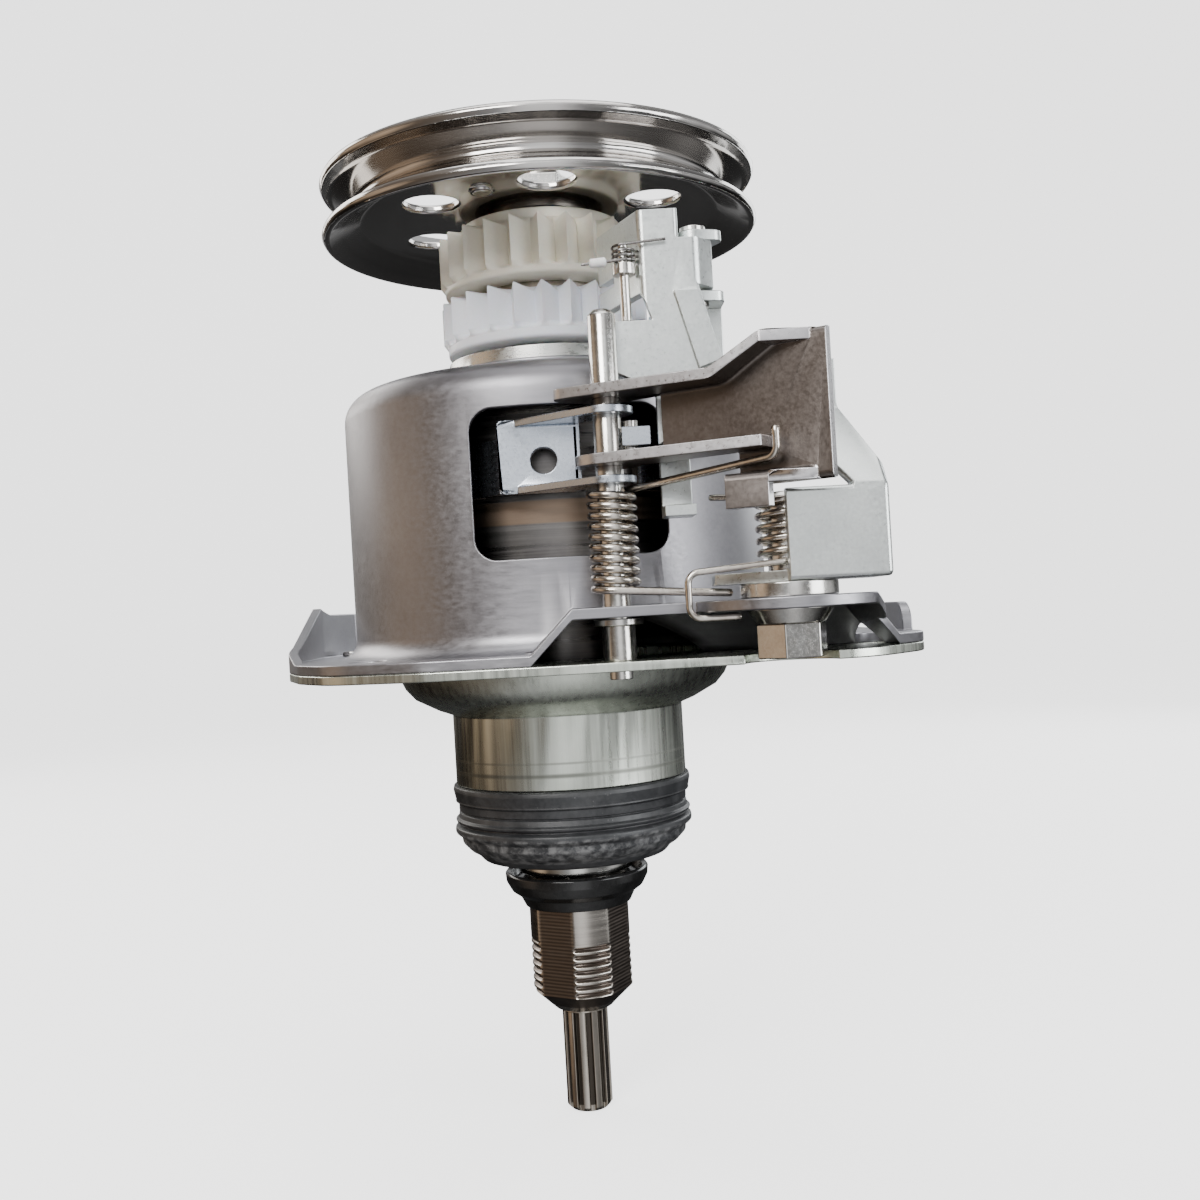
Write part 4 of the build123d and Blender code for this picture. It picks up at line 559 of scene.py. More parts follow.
SPLINE = Finish("spline_steel", (0.62, 0.57, 0.50), (0.46, 0.41, 0.35), (0.20, 0.36), grain=Grain.DRAWN,
                grain_scale=1200, grain_depth=0.08, grain_tint=0.14, stain_scale=150,
                # The band is painted shade: the grooves between the spline's teeth, within 5.15 mm of the
                # axis, are darkened almost to black.
                bands=(Band(-99.5, -75.0, 0.25, (0.06, 0.05, 0.04), 0.95, 0.2, outer=5.15),))
IRON = Finish("drum_iron", (0.22, 0.21, 0.20), (0.13, 0.12, 0.12), (0.22, 0.40), grain=Grain.TURNED,
              grain_scale=700, grain_tint=0.30, stain_scale=50, turned_gloss=0.5,
              bands=(Band(44.0, 49.6, 0.4, (0.34, 0.22, 0.13), 0.55, 0.1),))
BEARING = Finish("bearing_steel", (0.68, 0.67, 0.64), (0.52, 0.51, 0.48), (0.08, 0.2), grain=Grain.TURNED,
                 grain_scale=900, grain_tint=0.12)
RUBBER = Finish("seal_rubber", (0.022, 0.023, 0.025), (0.045, 0.047, 0.05), (0.34, 0.5), 0.0,
                grain_scale=1200, grain_depth=0.2, grain_tint=0.2, stain_scale=120, dust=0.12,
                dust_colour=(0.30, 0.30, 0.30),
                spots=0.3, spot_colour=(0.6, 0.6, 0.6),
                bands=(Band(-35.5, -28.6, 0.6, (0.22, 0.22, 0.22), 0.7, 0.2, patchy=True),))
GLOSS = Finish("ring_rubber", (0.012, 0.012, 0.012), (0.025, 0.025, 0.025), (0.12, 0.22), 0.0,
               grain_scale=900, grain_depth=0.04, grain_tint=0.2, stain_scale=150)
CREAM = Finish("cream_plastic", (0.92, 0.88, 0.76), (0.87, 0.82, 0.68), (0.30, 0.46), 0.0, grain_scale=1500,
               grain_depth=0.04, grain_tint=0.03, stain_scale=90, subsurface=0.12)
WHITE = Finish("white_plastic", (0.86, 0.88, 0.95), (0.84, 0.86, 0.89), (0.28, 0.42), 0.0, grain_scale=1500,
               grain_depth=0.04, grain_tint=0.03, stain_scale=90, subsurface=0.12, spots=0.12,
               spot_colour=(0.75, 0.68, 0.35))
TIP = Finish("tip_plastic", (0.85, 0.85, 0.84), (0.78, 0.78, 0.77), (0.35, 0.5), 0.0, grain_scale=1500,
             grain_depth=0.05, grain_tint=0.04, stain_scale=120, subsurface=0.1)
LINING = Finish("brake_lining", (0.09, 0.075, 0.06), (0.05, 0.045, 0.04), (0.6, 0.8), 0.0, grain_scale=1600,
                grain_depth=0.6, grain_tint=0.4)
BRONZE = Finish("bush_bronze", (0.46, 0.33, 0.18), (0.30, 0.22, 0.13), (0.3, 0.45), grain=Grain.TURNED)
BLUED = Finish("band_steel", (0.58, 0.62, 0.68), (0.44, 0.48, 0.54), (0.22, 0.36), grain_scale=1300,
               grain_depth=0.08, grain_tint=0.08, stain_scale=60, dust=0.04)
PAPER = Finish("floor_paper", (0.55, 0.55, 0.55), (0.53, 0.53, 0.53), (0.8, 0.9), 0.0, grain_scale=300,
               grain_depth=0.02, grain_tint=0.01, stain_scale=3)
MATERIALS = MaterialMaker()


# Meshes

# Lengths are in millimetres, and angles in degrees where the name doesn't say radians.
# Edges steeper than these stay sharp, on new pieces and on skins
SHARP = 35.0
SKIN_SHARP = 38.0
# Edges of a solid are rounded from this angle on
ROUNDED_FROM = 24.0
# Points of a solid that are closer than this are made one
MERGE = 0.002
# A face that is wider than the sheet by more than this factor is not its cut edge
WIDE_SHEET = 1.15
# A rounded point may lie off the solid by this share of the rounding and this much more
SETTLE_SHARE = 0.35
SETTLE_PLAY = 0.05
# An outline's arc has this many points, and a wire's middle has no wider gap than this
ARC_STEPS = 8
WIRE_STEP = 1.0
# The end of a wire domes to a point at these angles, over this share of its radius
DOME = (0.5, 25.0, 55.0)
DOME_REACH = 0.5
# A rounded corner takes at most this share of the side beside it
CUT_SHARE = 0.49
# A line that starts steeper than this share of upright has its first side from X
UPRIGHT = 0.9
# Lengths below this count as none, and corners straighter than this aren't rounded
TINY = 1e-9
STRAIGHT_RADIANS = 0.02


def show(name: str, data: bpy.types.ID) -> bpy.types.Object:
    """Put an object into the scene.

    Args:
        name: Its name.
        data: Its mesh, camera or light.
    Returns:
        The new object.
    """
    item = bpy.data.objects.new(name, data)
    bpy.context.scene.collection.objects.link(item)
    return item


def piece_from(name: str, verts: np.ndarray, faces: Iterable[Sequence[int]], finish: Finish,
               sharp: float = SHARP) -> bpy.types.Object:
    """Make an object from points in millimetres.

    Args:
        name: Name of the piece.
        verts: Array of points, one row each.
        faces: Corner numbers of each face.
        finish: Its material.
        sharp: Edges steeper than this angle in degrees stay sharp.
    Returns:
        The new object, with its place in its vertices.
    """
    mesh = bpy.data.meshes.new(name)
    mesh.from_pydata((np.asarray(verts) * MM).tolist(), [], [list(map(int, f)) for f in faces])
    mesh.validate()
    mesh.shade_smooth()
    mesh.set_sharp_from_angle(angle=math.radians(sharp))
    mesh.materials.append(MATERIALS.get(finish))
    return show(name, mesh)


def bake(piece: bpy.types.Object) -> bpy.types.Object:
    """Replace a piece's mesh by what its modifiers make of it.

    Args:
        piece: The piece with its modifiers.
    Returns:
        The same piece, without them.
    """
    bpy.context.view_layer.update()
    graph = bpy.context.evaluated_depsgraph_get()
    mesh = bpy.data.meshes.new_from_object(piece.evaluated_get(graph))
    piece.modifiers.clear()
    piece.data = mesh
    return piece


def arc_corner(before: np.ndarray, corner: np.ndarray, after: np.ndarray, radius: float,
               steps: int) -> list[np.ndarray]:
    """Round one corner of an outline.

    The arc starts where its radius over the tangent of half the angle is cut off, and its
    middle lies on the line that halves the angle. Between its ends the radius is turned
    evenly, as a blend of the first and the last by the sines of the angles left and gone.

    Args:
        before: The corner before it.
        corner: The corner itself.
        after: The corner after it.
        radius: Radius of the arc, which is less where a side is too short for it.
        steps: Points on the arc.
    Returns:
        The points, or the corner alone where there is nothing to round.
    """
    one, two = before - corner, after - corner
    len_one, len_two = np.linalg.norm(one), np.linalg.norm(two)
    if radius <= 0 or len_one < TINY or len_two < TINY:
        return [corner]
    one, two = one / len_one, two / len_two
    half = math.acos(float(np.clip(one @ two, -1, 1))) / 2
    if half > math.pi / 2 - STRAIGHT_RADIANS:
        return [corner]
    cut = min(radius / math.tan(half), CUT_SHARE * len_one, CUT_SHARE * len_two)
    radius = cut * math.tan(half)
    centre = corner + (one + two) / np.linalg.norm(one + two) * radius / math.sin(half)
    start, stop = corner + one * cut - centre, corner + two * cut - centre
    spread = math.acos(float(np.clip(start @ stop / radius ** 2, -1, 1)))
    return [centre + (math.sin((1 - t) * spread) * start + math.sin(t * spread) * stop) / math.sin(spread)
            for t in np.linspace(0, 1, steps)]


def rounded(points: Sequence[Corner], closed: bool = True, steps: int = ARC_STEPS) -> np.ndarray:
    """Round the corners of an outline.

    Args:
        points: Corners, each with its radius as the last number.
        closed: Whether the last corner joins the first.
        steps: Points on each arc.
    Returns:
        The rounded line as an array.
    """
    corners = [np.array(point[:-1], float) for point in points]
    count = len(corners)
    line: list[np.ndarray] = []
    for i, corner in enumerate(corners):
        if closed or 0 < i < count - 1:
            line += arc_corner(corners[i - 1], corner, corners[(i + 1) % count], points[i][-1], steps)
        else:
            line.append(corner)
    return np.array(line)


def surface(name: str, grid: np.ndarray, finish: Finish, wrap: tuple[bool, bool] = (False, False),
            sharp: float = SHARP) -> bpy.types.Object:
    """Make a piece from a grid of points: four neighbours in the grid are one face.

    Args:
        name: Name of the piece.
        grid: Points in millimetres, in an array of rows, columns and three numbers.
        finish: Its material.
        wrap: Whether the last row joins the first, and the last column the first.
        sharp: Edges steeper than this angle in degrees stay sharp.
    Returns:
        The new object.
    """
    rows, columns = grid.shape[:2]
    row = np.arange(rows if wrap[0] else rows - 1)[:, None]
    column = np.arange(columns if wrap[1] else columns - 1)[None, :]
    below, beside = (row + 1) % rows, (column + 1) % columns
    corners = [row * columns + column, below * columns + column,
               below * columns + beside, row * columns + beside]
    faces = np.stack(corners, -1).reshape(-1, 4)
    return piece_from(name, grid.reshape(-1, 3), faces, finish, sharp)


def lathe(name: str, profile: np.ndarray, finish: Finish, segments: int,
          wave: Optional[Wave] = None, sharp: float = SHARP, turn: float = 0.0) -> bpy.types.Object:
    """Turn a closed outline about the main axis: x = r cos a, y = r sin a.

    Args:
        name: Name of the piece.
        profile: Radius and height of each point, in millimetres.
        finish: Its material.
        segments: Steps round the axis.
        wave: Changes the radius and the height by the angle, where the shape isn't round.
        sharp: Edges steeper than this angle in degrees stay sharp.
        turn: Angle of the first step, in degrees.
    Returns:
        The new object.
    """
    profile = np.asarray(profile, float)
    ahead = np.roll(profile, -1, axis=0)
    if np.sum(profile[:, 0] * ahead[:, 1] - ahead[:, 0] * profile[:, 1]) < 0:
        profile = profile[::-1]
    angle = np.linspace(0, 2 * np.pi, segments, endpoint=False)[:, None] + math.radians(turn)
    radius = np.broadcast_to(profile[:, 0], (segments, len(profile)))
    height = np.broadcast_to(profile[:, 1], (segments, len(profile)))
    if wave is not None:
        radius, height = wave(angle, radius, height)
    grid = np.stack([radius * np.cos(angle), radius * np.sin(angle), height], -1)
    return surface(name, grid, finish, (True, True), sharp)


def smooth_step(value: np.ndarray) -> np.ndarray:
    """Ease from 0 to 1: three squares less two cubes, of a value held between 0 and 1."""
    value = np.clip(value, 0, 1)
    return value * value * (3 - 2 * value)


def place(piece: bpy.types.Object, node: str) -> bpy.types.Object:
    """Let a piece stand for a CAD node: it rides on that node's body, and the node is hidden.

    Args:
        piece: The finished piece.
        node: The node that it replaces.
    Returns:
        The same piece.
    """
    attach(piece, frame["nodes"][node]["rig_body"])
    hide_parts(node)
    LOG.info("made %s for %s", piece.name, node)
    return piece


def frames_along(line: np.ndarray) -> tuple[np.ndarray, np.ndarray, np.ndarray]:
    """Directions along a line, and two across it that don't twist.

    The first across direction starts level or upright, and at each later point is the one
    before it less its part along the line.

    Args:
        line: Points in an array, one row each.
    Returns:
        The direction along the line, and the two across it, at each point.
    """
    ahead = np.gradient(line, axis=0)
    ahead /= np.linalg.norm(ahead, axis=1)[:, None]
    across = np.zeros_like(line)
    guess = np.array([0.0, 0.0, 1.0]) if abs(ahead[0][2]) < UPRIGHT else np.array([1.0, 0.0, 0.0])
    for i, way in enumerate(ahead):
        guess = guess - way * (guess @ way)
        guess /= np.linalg.norm(guess)
        across[i] = guess
    return ahead, across, np.cross(ahead, across)


def wire(name: str, line: np.ndarray, radius: float, finish: Finish, sides: int = 14) -> bpy.types.Object:
    """Carry a circle along a line, p + r (cos a u + sin a v), with ends that dome to a point.

    Args:
        name: Name of the piece.
        line: Points of the wire's middle, in millimetres.
        radius: Radius of the wire.
        finish: Its material.
        sides: Points round the circle.
    Returns:
        The new object.
    """
    line = np.asarray(line, float)
    ahead, u, v = frames_along(line)
    dome = np.radians(DOME)
    rows = len(dome)
    reach, share = DOME_REACH * radius * np.cos(dome), np.sin(dome)
    head, foot = line[0] - reach[:, None] * ahead[0], line[-1] + reach[::-1, None] * ahead[-1]
    middle = np.concatenate([head, line, foot])
    width = radius * np.concatenate([share, np.ones(len(line)), share[::-1]])
    first = np.concatenate([np.repeat(u[:1], rows, 0), u, np.repeat(u[-1:], rows, 0)])
    second = np.concatenate([np.repeat(v[:1], rows, 0), v, np.repeat(v[-1:], rows, 0)])
    turn = np.linspace(0, 2 * np.pi, sides, endpoint=False)[None, :, None]
    ring = np.cos(turn) * first[:, None] + np.sin(turn) * second[:, None]
    grid = middle[:, None] + width[:, None, None] * ring
    return closed_ends(surface(name, grid[::-1], finish, (False, True)))


def closed_ends(piece: bpy.types.Object) -> bpy.types.Object:
    """Fill the small open rings at a piece's ends, and turn all faces outward.

    Args:
        piece: A tube that is open at its ends.
    Returns:
        The same piece, closed.
    """
    shape = bmesh.new()
    shape.from_mesh(piece.data)
    bmesh.ops.holes_fill(shape, edges=[e for e in shape.edges if e.is_boundary], sides=0)
    bmesh.ops.recalc_face_normals(shape, faces=shape.faces)
    shape.to_mesh(piece.data)
    shape.free()
    piece.data.shade_smooth()
    piece.data.set_sharp_from_angle(angle=math.radians(SHARP))
    return piece


@dataclass(frozen=True)
class Edges:
    """How far edges are rounded, in millimetres: sheared edges, and bends of a thin sheet.

    Faces that turn by less than the flat angle, in degrees, are made one face first.
    """

    cut: float = 0.25
    bend: float = 0.0
    inner: float = 0.0
    sheet: float = 2.3
    segments: int = 2
    flat: float = 0.1


def strip_width(face: bmesh.types.BMFace) -> float:
    """Width that a face has as a long strip, in millimetres: twice its area over its outline."""
    return 2 * face.calc_area() / sum(edge.calc_length() for edge in face.edges) / MM


def weigh(shape: bmesh.types.BMesh, edges: Edges) -> float:
    """Mark each sharp edge with its share of the widest rounding.

    A face that is about as narrow as the sheet is thick is its cut edge. An edge between two
    wider faces is a bend.

    Args:
        shape: The mesh to mark.
        edges: The roundings.
    Returns:
        The widest rounding in millimetres.
    """
    widest = max(edges.cut, edges.bend, edges.inner)
    layer = shape.edges.layers.float.new("bevel_weight_edge")
    for edge in shape.edges:
        if len(edge.link_faces) != 2 or edge.calc_face_angle(0) < math.radians(ROUNDED_FROM):
            continue
        rounding = edges.cut
        if edges.bend > 0 and min(map(strip_width, edge.link_faces)) > edges.sheet * WIDE_SHEET:
            rounding = edges.bend if edge.is_convex else edges.inner
        edge[layer] = rounding / widest
    return widest


def skin(node: str, finish: Finish, edges: Edges = Edges(),
         rim: Optional[Finish] = None) -> bpy.types.Object:
    """A finer piece in the shape of a CAD node, with its edges rounded.

    Args:
        node: The CAD node that it stands for.
        finish: Its material.
        edges: How its edges are rounded.
        rim: Material of the sheared edges, where it differs, such as a lighter one that is partly bare cut
            metal and partly a painted highlight.
    Returns:
        The new piece, riding on the node's body.
    """
    shape = bmesh.new()
    shape.from_mesh(frame["nodes"][node].data)
    bmesh.ops.remove_doubles(shape, verts=shape.verts, dist=MERGE * MM)
    bmesh.ops.dissolve_limit(shape, angle_limit=math.radians(edges.flat), verts=shape.verts,
                             edges=shape.edges)
    bmesh.ops.recalc_face_normals(shape, faces=shape.faces)
    widest = weigh(shape, edges)
    if rim is not None:
        for face in shape.faces:
            face.material_index = int(strip_width(face) < edges.sheet * WIDE_SHEET)
    mesh = bpy.data.meshes.new(node + "_skin")
    shape.to_mesh(mesh)
    tree = BVHTree.FromBMesh(shape)
    shape.free()
    mesh.shade_smooth()
    mesh.set_sharp_from_angle(angle=math.radians(SKIN_SHARP))
    mesh.materials.append(MATERIALS.get(finish))
    if rim is not None:
        mesh.materials.append(MATERIALS.get(rim))
    made = show(node + "_skin", mesh)
    bevel = made.modifiers.new("round", "BEVEL")
    bevel.width = widest * MM
    bevel.segments = edges.segments
    bevel.limit_method = "WEIGHT"
    bevel.use_clamp_overlap = False
    bevel.harden_normals = True
    bevel.miter_outer = "MITER_ARC"
    bake(made)
    settle(made, tree, (SETTLE_SHARE * widest + SETTLE_PLAY) * MM)
    return place(made, node)


def settle(piece: bpy.types.Object, tree: BVHTree, reach: float) -> None:
    """Bring points that the rounding threw off back to the nearest point of the solid.

    Args:
        piece: The rounded piece.
        tree: The solid's faces.
        reach: How far a rounding may leave the solid, in metres.
    """
    mesh = piece.data
    points = np.empty(len(mesh.vertices) * 3)
    mesh.vertices.foreach_get("co", points)
    points = points.reshape(-1, 3)
    near = [tree.find_nearest(point) for point in points.tolist()]
    off = np.array([found[3] for found in near])
    back = np.array([tuple(found[0]) for found in near])
    points = np.where(off[:, None] > reach, back, points)
    mesh.vertices.foreach_set("co", points.ravel())
    mesh.update()


def dress(node: str, finish: Finish) -> None:
    """Give a carried-over CAD node a better material.

    Args:
        node: The node.
        finish: What it is made of.
    """
    item = frame["nodes"][node]
    item.data.materials.clear()
    item.data.materials.append(MATERIALS.get(finish))


# Springs


@dataclass(frozen=True)
class Torsion:
    """A wound torsion spring, in millimetres and degrees."""

    name: str
    centre: tuple[float, float]
    coil_r: float
    wire_r: float
    low_z: float
    pitch: float
    turns: float
    start: float
    hand: int

    def helix(self, per_turn: int = 40) -> np.ndarray:
        """Points of the coil: the angle grows evenly with the height.

        Args:
            per_turn: Points on one turn.
        Returns:
            The points in an array, one row each.
        """
        count = int(self.turns * per_turn) + 1
        t = np.linspace(0, self.turns, count)
        angle = math.radians(self.start) + self.hand * 2 * np.pi * t
        return np.stack([
            self.centre[0] + self.coil_r * np.cos(angle),
            self.centre[1] + self.coil_r * np.sin(angle),
            self.low_z + self.pitch * t,
        ], -1)

    def ways(self) -> tuple[np.ndarray, np.ndarray]:
        """Directions in which the wire starts and ends: the helix's rate of change, made one long.

        Returns:
            The two directions, both pointing on along the wire.
        """
        made = []
        for t in (0.0, self.turns):
            angle = math.radians(self.start) + self.hand * 2 * np.pi * t
            way = np.array([
                -self.hand * self.coil_r * np.sin(angle),
                self.hand * self.coil_r * np.cos(angle),
                self.pitch / (2 * np.pi),
            ])
            made.append(way / np.linalg.norm(way))
        return made[0], made[1]


def dense(line: np.ndarray, step: float = WIRE_STEP) -> np.ndarray:
    """Fill a line up with points, evenly between each two that it has.

    Args:
        line: Points in an array, one row each.
        step: The widest gap that may stay.
    Returns:
        The longer array.
    """
    out = [line[0]]
    for a, b in zip(line[:-1], line[1:]):
        count = max(1, int(math.ceil(np.linalg.norm(b - a) / step)))
        out += [a + (b - a) * (i + 1) / count for i in range(count)]
    return np.array(out)


@dataclass
class Springs:
    """The three springs that show."""

    brake: Torsion = Torsion(
        name="brake_spring_wire", centre=(11.7, -58.0), coil_r=4.55, wire_r=0.85, low_z=27.9,
        pitch=2.2, turns=9.6167, start=-90.0, hand=-1)
    brake_lead: float = 23.5
    brake_tail: float = 38.5
    brake_hook: float = 5.5
    brake_bend_r: float = 2.2
    pawl: Torsion = Torsion(
        name="pawl_spring_wire", centre=(46.5, -67.0), coil_r=5.6, wire_r=0.7, low_z=31.8,
        pitch=2.5, turns=5.425, start=-90.0, hand=1)
    pawl_low_z: float = 21.2
    pawl_lead: float = 21.2
    pawl_foot: float = 10.0
    pawl_tail: float = 18.0
    pawl_bend_r: float = 2.4
    trip: Torsion = Torsion(
        name="trip_spring_wire", centre=(17.3, -54.75), coil_r=2.3, wire_r=0.3, low_z=97.7,
        pitch=1.1, turns=3.0, start=-90.0, hand=1)
    trip_leg: float = 9.0
    trip_sides: int = 10
    tip_at: float = 4.2
    tip_l: float = 2.8
    tip_r: float = 1.0
    tip_step: float = 0.4
    tip_sides: int = 20

    def build(self) -> None:
        """Make all three."""
        self._brake()
        self._pawl()
        self._trip()

    def _brake(self) -> None:
        """The long coil on the pivot pin, whose upper leg hooks over the lever."""
        coil = self.brake
        line = coil.helix()
        first, last = coil.ways()
        tip = line[-1] + last * self.brake_tail
        up = tip + np.array([0, 0, self.brake_hook])
        lead = dense(np.array([line[0] - first * self.brake_lead, line[0]]))[:-1]
        hook = dense(rounded([(*line[-1], 0), (*tip, self.brake_bend_r), (*up, 0)], False))[1:]
        made = wire(coil.name, np.concatenate([lead, line, hook]), coil.wire_r, WIRE)
        self._blend(made, "brake_spring", "lever", coil)

    def _pawl(self) -> None:
        """The wide coil round the bolt, whose lower leg is bent down and back."""
        coil = self.pawl
        line = coil.helix()
        first, last = coil.ways()
        corner = line[0] - first * self.pawl_lead
        lower = np.array([corner[0], corner[1], self.pawl_low_z])
        foot = lower + np.array([self.pawl_foot, 0, 0])
        bends = [(*foot, 0), (*lower, self.pawl_bend_r), (*corner, self.pawl_bend_r), (*line[0], 0)]
        lead = dense(rounded(bends, False))[:-1]
        tail = dense(np.array([line[-1], line[-1] + last * self.pawl_tail]))[1:]
        made = wire(coil.name, np.concatenate([lead, line, tail]), coil.wire_r, WIRE)
        self._blend(made, "pawl_spring", "pawl", coil)

    def _trip(self) -> None:
        """The thin coil on the stud of the pawl, with both legs straight and a cap on the lower one."""
        coil = self.trip
        line = coil.helix()
        first, last = coil.ways()
        lead = dense(np.array([line[0] - first * self.trip_leg, line[0]]))[:-1]
        tail = dense(np.array([line[-1], line[-1] + last * self.trip_leg]))[1:]
        whole = np.concatenate([lead, line, tail])
        place(wire(coil.name, whole, coil.wire_r, THIN_WIRE, self.trip_sides), "trip_spring")
        near = line[0] - first * self.tip_at
        middle = dense(np.array([near - first * self.tip_l, near]), self.tip_step)
        cap = wire("trip_spring_cap", middle, self.tip_r, TIP, self.tip_sides)
        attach(cap, "pawl")
        LOG.info("made %s", cap.name)

    @staticmethod
    def _blend(made: bpy.types.Object, node: str, moving: str, coil: Torsion) -> None:
        """Bake the spring's place into its mesh and hide the CAD node that it replaces.

        Args:
            made: The spring's wire.
            node: The CAD node that it replaces.
            moving: The body that it pushes; not used.
            coil: Where its turns lie; not used.
        """
        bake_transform(made)
        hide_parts(node)
        LOG.info("made %s for %s", made.name, node)


# Sub-assemblies


@dataclass(frozen=True)
class Wheel:
    """One ratchet wheel.

    Its heights and its hub's radius are in millimetres, and the angle of its first tip is in
    degrees.
    """

    name: str
    node: str
    finish: Finish
    low: float
    rim: float
    top: float
    hub: float
    hub_r: float
    turn: float


@dataclass
class Ratchets:
    """The two plastic ratchet wheels between the case and the pulley.

    The rim is a little narrower than the tips of the teeth, and flares out to them. A hub that
    is no higher than the teeth is sunk between them.
    """

    upper: Wheel = Wheel("upper_wheel", "upper_ratchet", CREAM, low=104.6, rim=106.0, top=118.7, hub=121.4,
                         hub_r=20.3, turn=-1.1)
    lower: Wheel = Wheel("lower_wheel", "lower_ratchet", WHITE, low=89.2, rim=91.6, top=102.6, hub=102.6,
                         hub_r=18.6, turn=-0.9)
    teeth: int = 24
    steps_per_tooth: int = 12
    tip_r: float = 26.0
    rim_r: float = 24.8
    root_r: float = 21.8
    bore_r: float = 16.1
    fall_share: float = 2 / 3
    slope: float = 2.0
    slope_from: float = 2.0
    flare: float = 1.7
    flare_shares: tuple[float, ...] = (0.25, 0.5, 0.75)
    sunk: float = 1.6
    hub_gap: float = 0.4
    sharp: float = 30.0
    arc_steps: int = 5
    foot_round: float = 0.9
    tip_round: float = 0.5
    hub_round: float = 0.4
    edge_round: float = 0.3
    bore_round: float = 0.2

    def build(self) -> None:
        """Make the upper wheel, which stands still, and the lower one, which turns with the drum."""
        for wheel in (self.upper, self.lower):
            place(self._wheel(wheel), wheel.node)

    def _outline(self, wheel: Wheel) -> np.ndarray:
        """Radius and height along a cut through a wheel's teeth at their tips.

        Args:
            wheel: Its sizes.
        Returns:
            The outline, with its corners rounded.
        """
        bore, hub_r, tip, top = self.bore_r, wheel.hub_r, self.tip_r, wheel.top
        flared = [(self.rim_r + (tip - self.rim_r) * share, wheel.rim + self.flare * share, 0.0)
                  for share in self.flare_shares]
        outline = [(bore, wheel.low, self.bore_round), (self.rim_r, wheel.low, self.foot_round),
                   (self.rim_r, wheel.rim, self.edge_round), *flared,
                   (tip, wheel.rim + self.flare, self.edge_round), (tip, top, self.tip_round)]
        if wheel.hub > top:
            outline += [(hub_r, top, self.tip_round), (hub_r, wheel.hub, self.hub_round),
                        (bore, wheel.hub, self.edge_round)]
        else:
            outline += [(hub_r, top, self.bore_round), (hub_r, top - self.sunk, self.edge_round),
                        (bore, top - self.sunk, self.edge_round)]
        return rounded(outline, True, self.arc_steps)

    def _wheel(self, wheel: Wheel) -> bpy.types.Object:
        """A ring whose rim is round below and toothed above.

        A tooth falls in a straight line from the tip to the root over two thirds of its
        angle and rises over the rest. Its top slopes down towards the root.

        Args:
            wheel: Its name, material and sizes.
        Returns:
            The new object.
        """
        tip, rim, top, inside = self.tip_r, wheel.rim, wheel.top, wheel.hub_r

        def toothed(angle: np.ndarray, radius: np.ndarray, height: np.ndarray) -> Rings:
            """Pull the rim in between the teeth, and lower the top there.

            Args:
                angle: Angle of each point, in radians.
                radius: Its distance from the axis.
                height: Its height.
            Returns:
                The new distances and heights.
            """
            phase = ((angle - math.radians(wheel.turn)) * self.teeth / (2 * np.pi) + TINY) % 1.0
            falling, rising = phase / self.fall_share, (1 - phase) / (1 - self.fall_share)
            depth = np.where(phase < self.fall_share, falling, rising) * (tip - self.root_r)
            outside = np.clip((radius - inside - self.hub_gap) / (tip - inside - self.hub_gap), 0, 1)
            nearer = radius - depth * smooth_step((height - rim) / self.flare) * outside
            upper = np.clip((height - rim - self.slope_from) / (top - rim - self.slope_from), 0, 1)
            return nearer, height - depth / (tip - self.root_r) * self.slope * upper * outside

        return lathe(wheel.name, self._outline(wheel), wheel.finish, self.teeth * self.steps_per_tooth,
                     toothed, self.sharp, wheel.turn)


